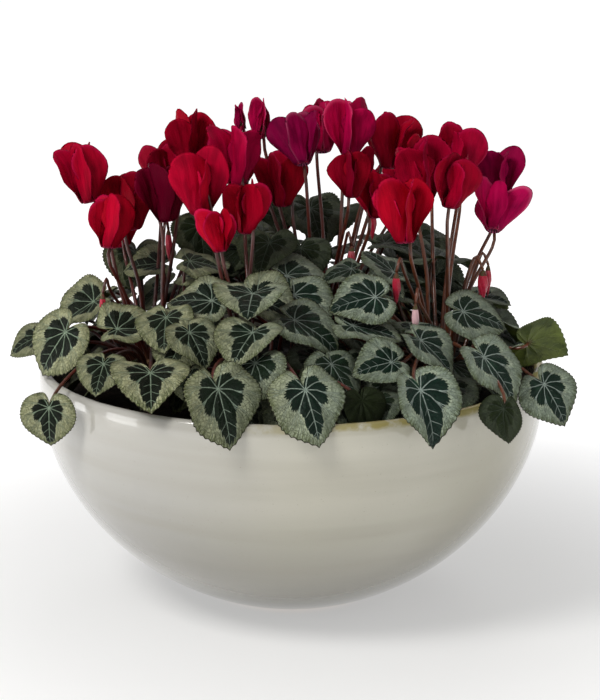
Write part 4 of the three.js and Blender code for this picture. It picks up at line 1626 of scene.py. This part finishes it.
class CYCLAMEN_OT_leaves(bpy.types.Operator):
    """Makes the leaves: those that the frame holds, more that show, and spare ones where there is room."""

    bl_idname = "cyclamen.leaves"
    bl_label = "Leaves"

    def execute(self, context):
        settings = context.scene.cyclamen_leaf
        blank = blade_blank(*LEAF_DIVISIONS, settings.teeth)
        plain = blade_blank(*SPARE_LEAF_DIVISIONS, settings.teeth)
        self.grow(LEAVES, 0, LEAF_RING, blank, settings)
        room = Room(context.scene)
        more = seated(MORE_LEAVES, room)
        number = len(LEAVES) + len(more)
        self.grow(more, len(LEAVES), SPARE_LEAF_RING, blank, settings)
        self.grow(spares(settings.spare, number, room), number, SPARE_LEAF_RING, plain, settings)
        bpy.data.meshes.remove(blank)
        bpy.data.meshes.remove(plain)
        return {"FINISHED"}

    def grow(self, leaves, before, ring, blank, settings):
        """Makes leaves, numbered on from how many there are before them."""
        rows = numbered("silver_leaf", "leaf", len(LEAVES), leaves, before)
        for number, (row, foot) in enumerate(zip(rows, crown_feet(leaves, ring)), before):
            make_leaf(*row, Habit(number), foot, blank, settings)


# The stage


class CYCLAMEN_OT_stage(bpy.types.Operator):
    """Makes the pale floor, the soft studio light and the camera."""

    bl_idname = "cyclamen.stage"
    bl_label = "Stage"

    def execute(self, context):
        settings = context.scene.cyclamen_stage
        self.lay_floor(settings)
        self.light(context.scene)
        data = bpy.data.cameras.new("camera")
        data.lens = settings.lens
        back = Vector((0, -math.cos(settings.elevation), math.sin(settings.elevation)))
        aim = Vector(settings.aim)
        context.scene.camera = self.stand("camera", data, aim + back * settings.distance, aim)
        context.scene.view_settings.view_transform = "Standard"
        return {"FINISHED"}

    def stand(self, name, data, place, aim):
        """Puts a lamp or the camera in its place, facing its aim."""
        made = bpy.data.objects.new(name, data)
        made.location = place
        made.rotation_euler = (Vector(aim) - Vector(place)).to_track_quat("-Z", "Y").to_euler()
        bpy.context.scene.collection.objects.link(made)
        return made

    def lay_floor(self, settings):
        """A wide pale floor that glows like a lit table, more strongly away from the bowl."""
        bm = bmesh.new()
        bmesh.ops.create_grid(bm, x_segments=1, y_segments=1, size=FLOOR_REACH)
        mesh = meshed("floor", bm)
        paint = Finish(FINISH_PREFIX + "floor", {"Roughness": 0.9, "Specular_IOR_Level": 0.1})
        x, y = paint.parts(paint.place(), "XY")
        away = paint.rise(0.14, 0.52, (x * x + y * y) ** 0.5)
        glow = paint.blend((0.4, 0.4, 0.4), (0.84, 0.84, 0.84), away)
        paint.feed(Base_Color=settings.floor, Emission_Color=glow, Emission_Strength=1.0)
        mesh.materials.append(paint.material)
        floor = bpy.data.objects.new("floor", mesh)
        floor.location.z = -FLOOR_DROP
        bpy.context.scene.collection.objects.link(floor)
        floor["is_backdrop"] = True

    def light(self, scene):
        """A dim even sky, soft lamps all round, and two small windows low on the left for the glaze."""
        scene.world = bpy.data.worlds.new("studio")
        scene.world.use_nodes = True
        sky = scene.world.node_tree.nodes["Background"]
        sky.inputs["Color"].default_value = (1, 1, 1, 1)
        sky.inputs["Strength"].default_value = SKY_STRENGTH
        for name, (place, size, power, colour) in LAMPS.items():
            lamp = bpy.data.lights.new(name, "AREA")
            lamp.shape = "RECTANGLE"
            lamp.size, lamp.size_y = size
            lamp.energy = power
            lamp.color = colour
            self.stand(name, lamp, place, LIT_PLACE)


class CYCLAMEN_PT_panel(bpy.types.Panel):
    """Lists the steps and the settings."""

    bl_idname = "CYCLAMEN_PT_panel"
    bl_label = "Potted Cyclamen"
    bl_space_type = "VIEW_3D"
    bl_region_type = "UI"
    bl_category = "Cyclamen"

    def draw(self, context):
        for operator in OPERATORS:
            self.layout.operator(operator.bl_idname)
        for name, group in SETTINGS.items():
            box = self.layout.box()
            for setting in group.__annotations__:
                box.prop(getattr(context.scene, name), setting)


SETTINGS = {
    "cyclamen_bowl": BowlSettings,
    "cyclamen_leaf": LeafSettings,
    "cyclamen_flower": FlowerSettings,
    "cyclamen_stage": StageSettings,
}
OPERATORS = [
    CYCLAMEN_OT_bowl,
    CYCLAMEN_OT_soil,
    CYCLAMEN_OT_tubers,
    CYCLAMEN_OT_flowers,
    CYCLAMEN_OT_buds,
    CYCLAMEN_OT_leaves,
    CYCLAMEN_OT_stage,
]


def register():
    for item in (*SETTINGS.values(), *OPERATORS, CYCLAMEN_PT_panel):
        bpy.utils.register_class(item)
    for name, group in SETTINGS.items():
        setattr(bpy.types.Scene, name, bpy.props.PointerProperty(type=group))


def unregister():
    for name in SETTINGS:
        delattr(bpy.types.Scene, name)
    for item in (CYCLAMEN_PT_panel, *reversed(OPERATORS), *reversed(SETTINGS.values())):
        bpy.utils.unregister_class(item)


def main():
    """Makes every piece in order."""
    register()
    for operator in OPERATORS:
        getattr(bpy.ops.cyclamen, operator.bl_idname.split(".")[1])()
    boxes = {"cad": frame_bounds, "visual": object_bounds()}
    {name: [list(corner) for corner in box] for name, box in boxes.items()}


if __name__ == "__main__":
    main()
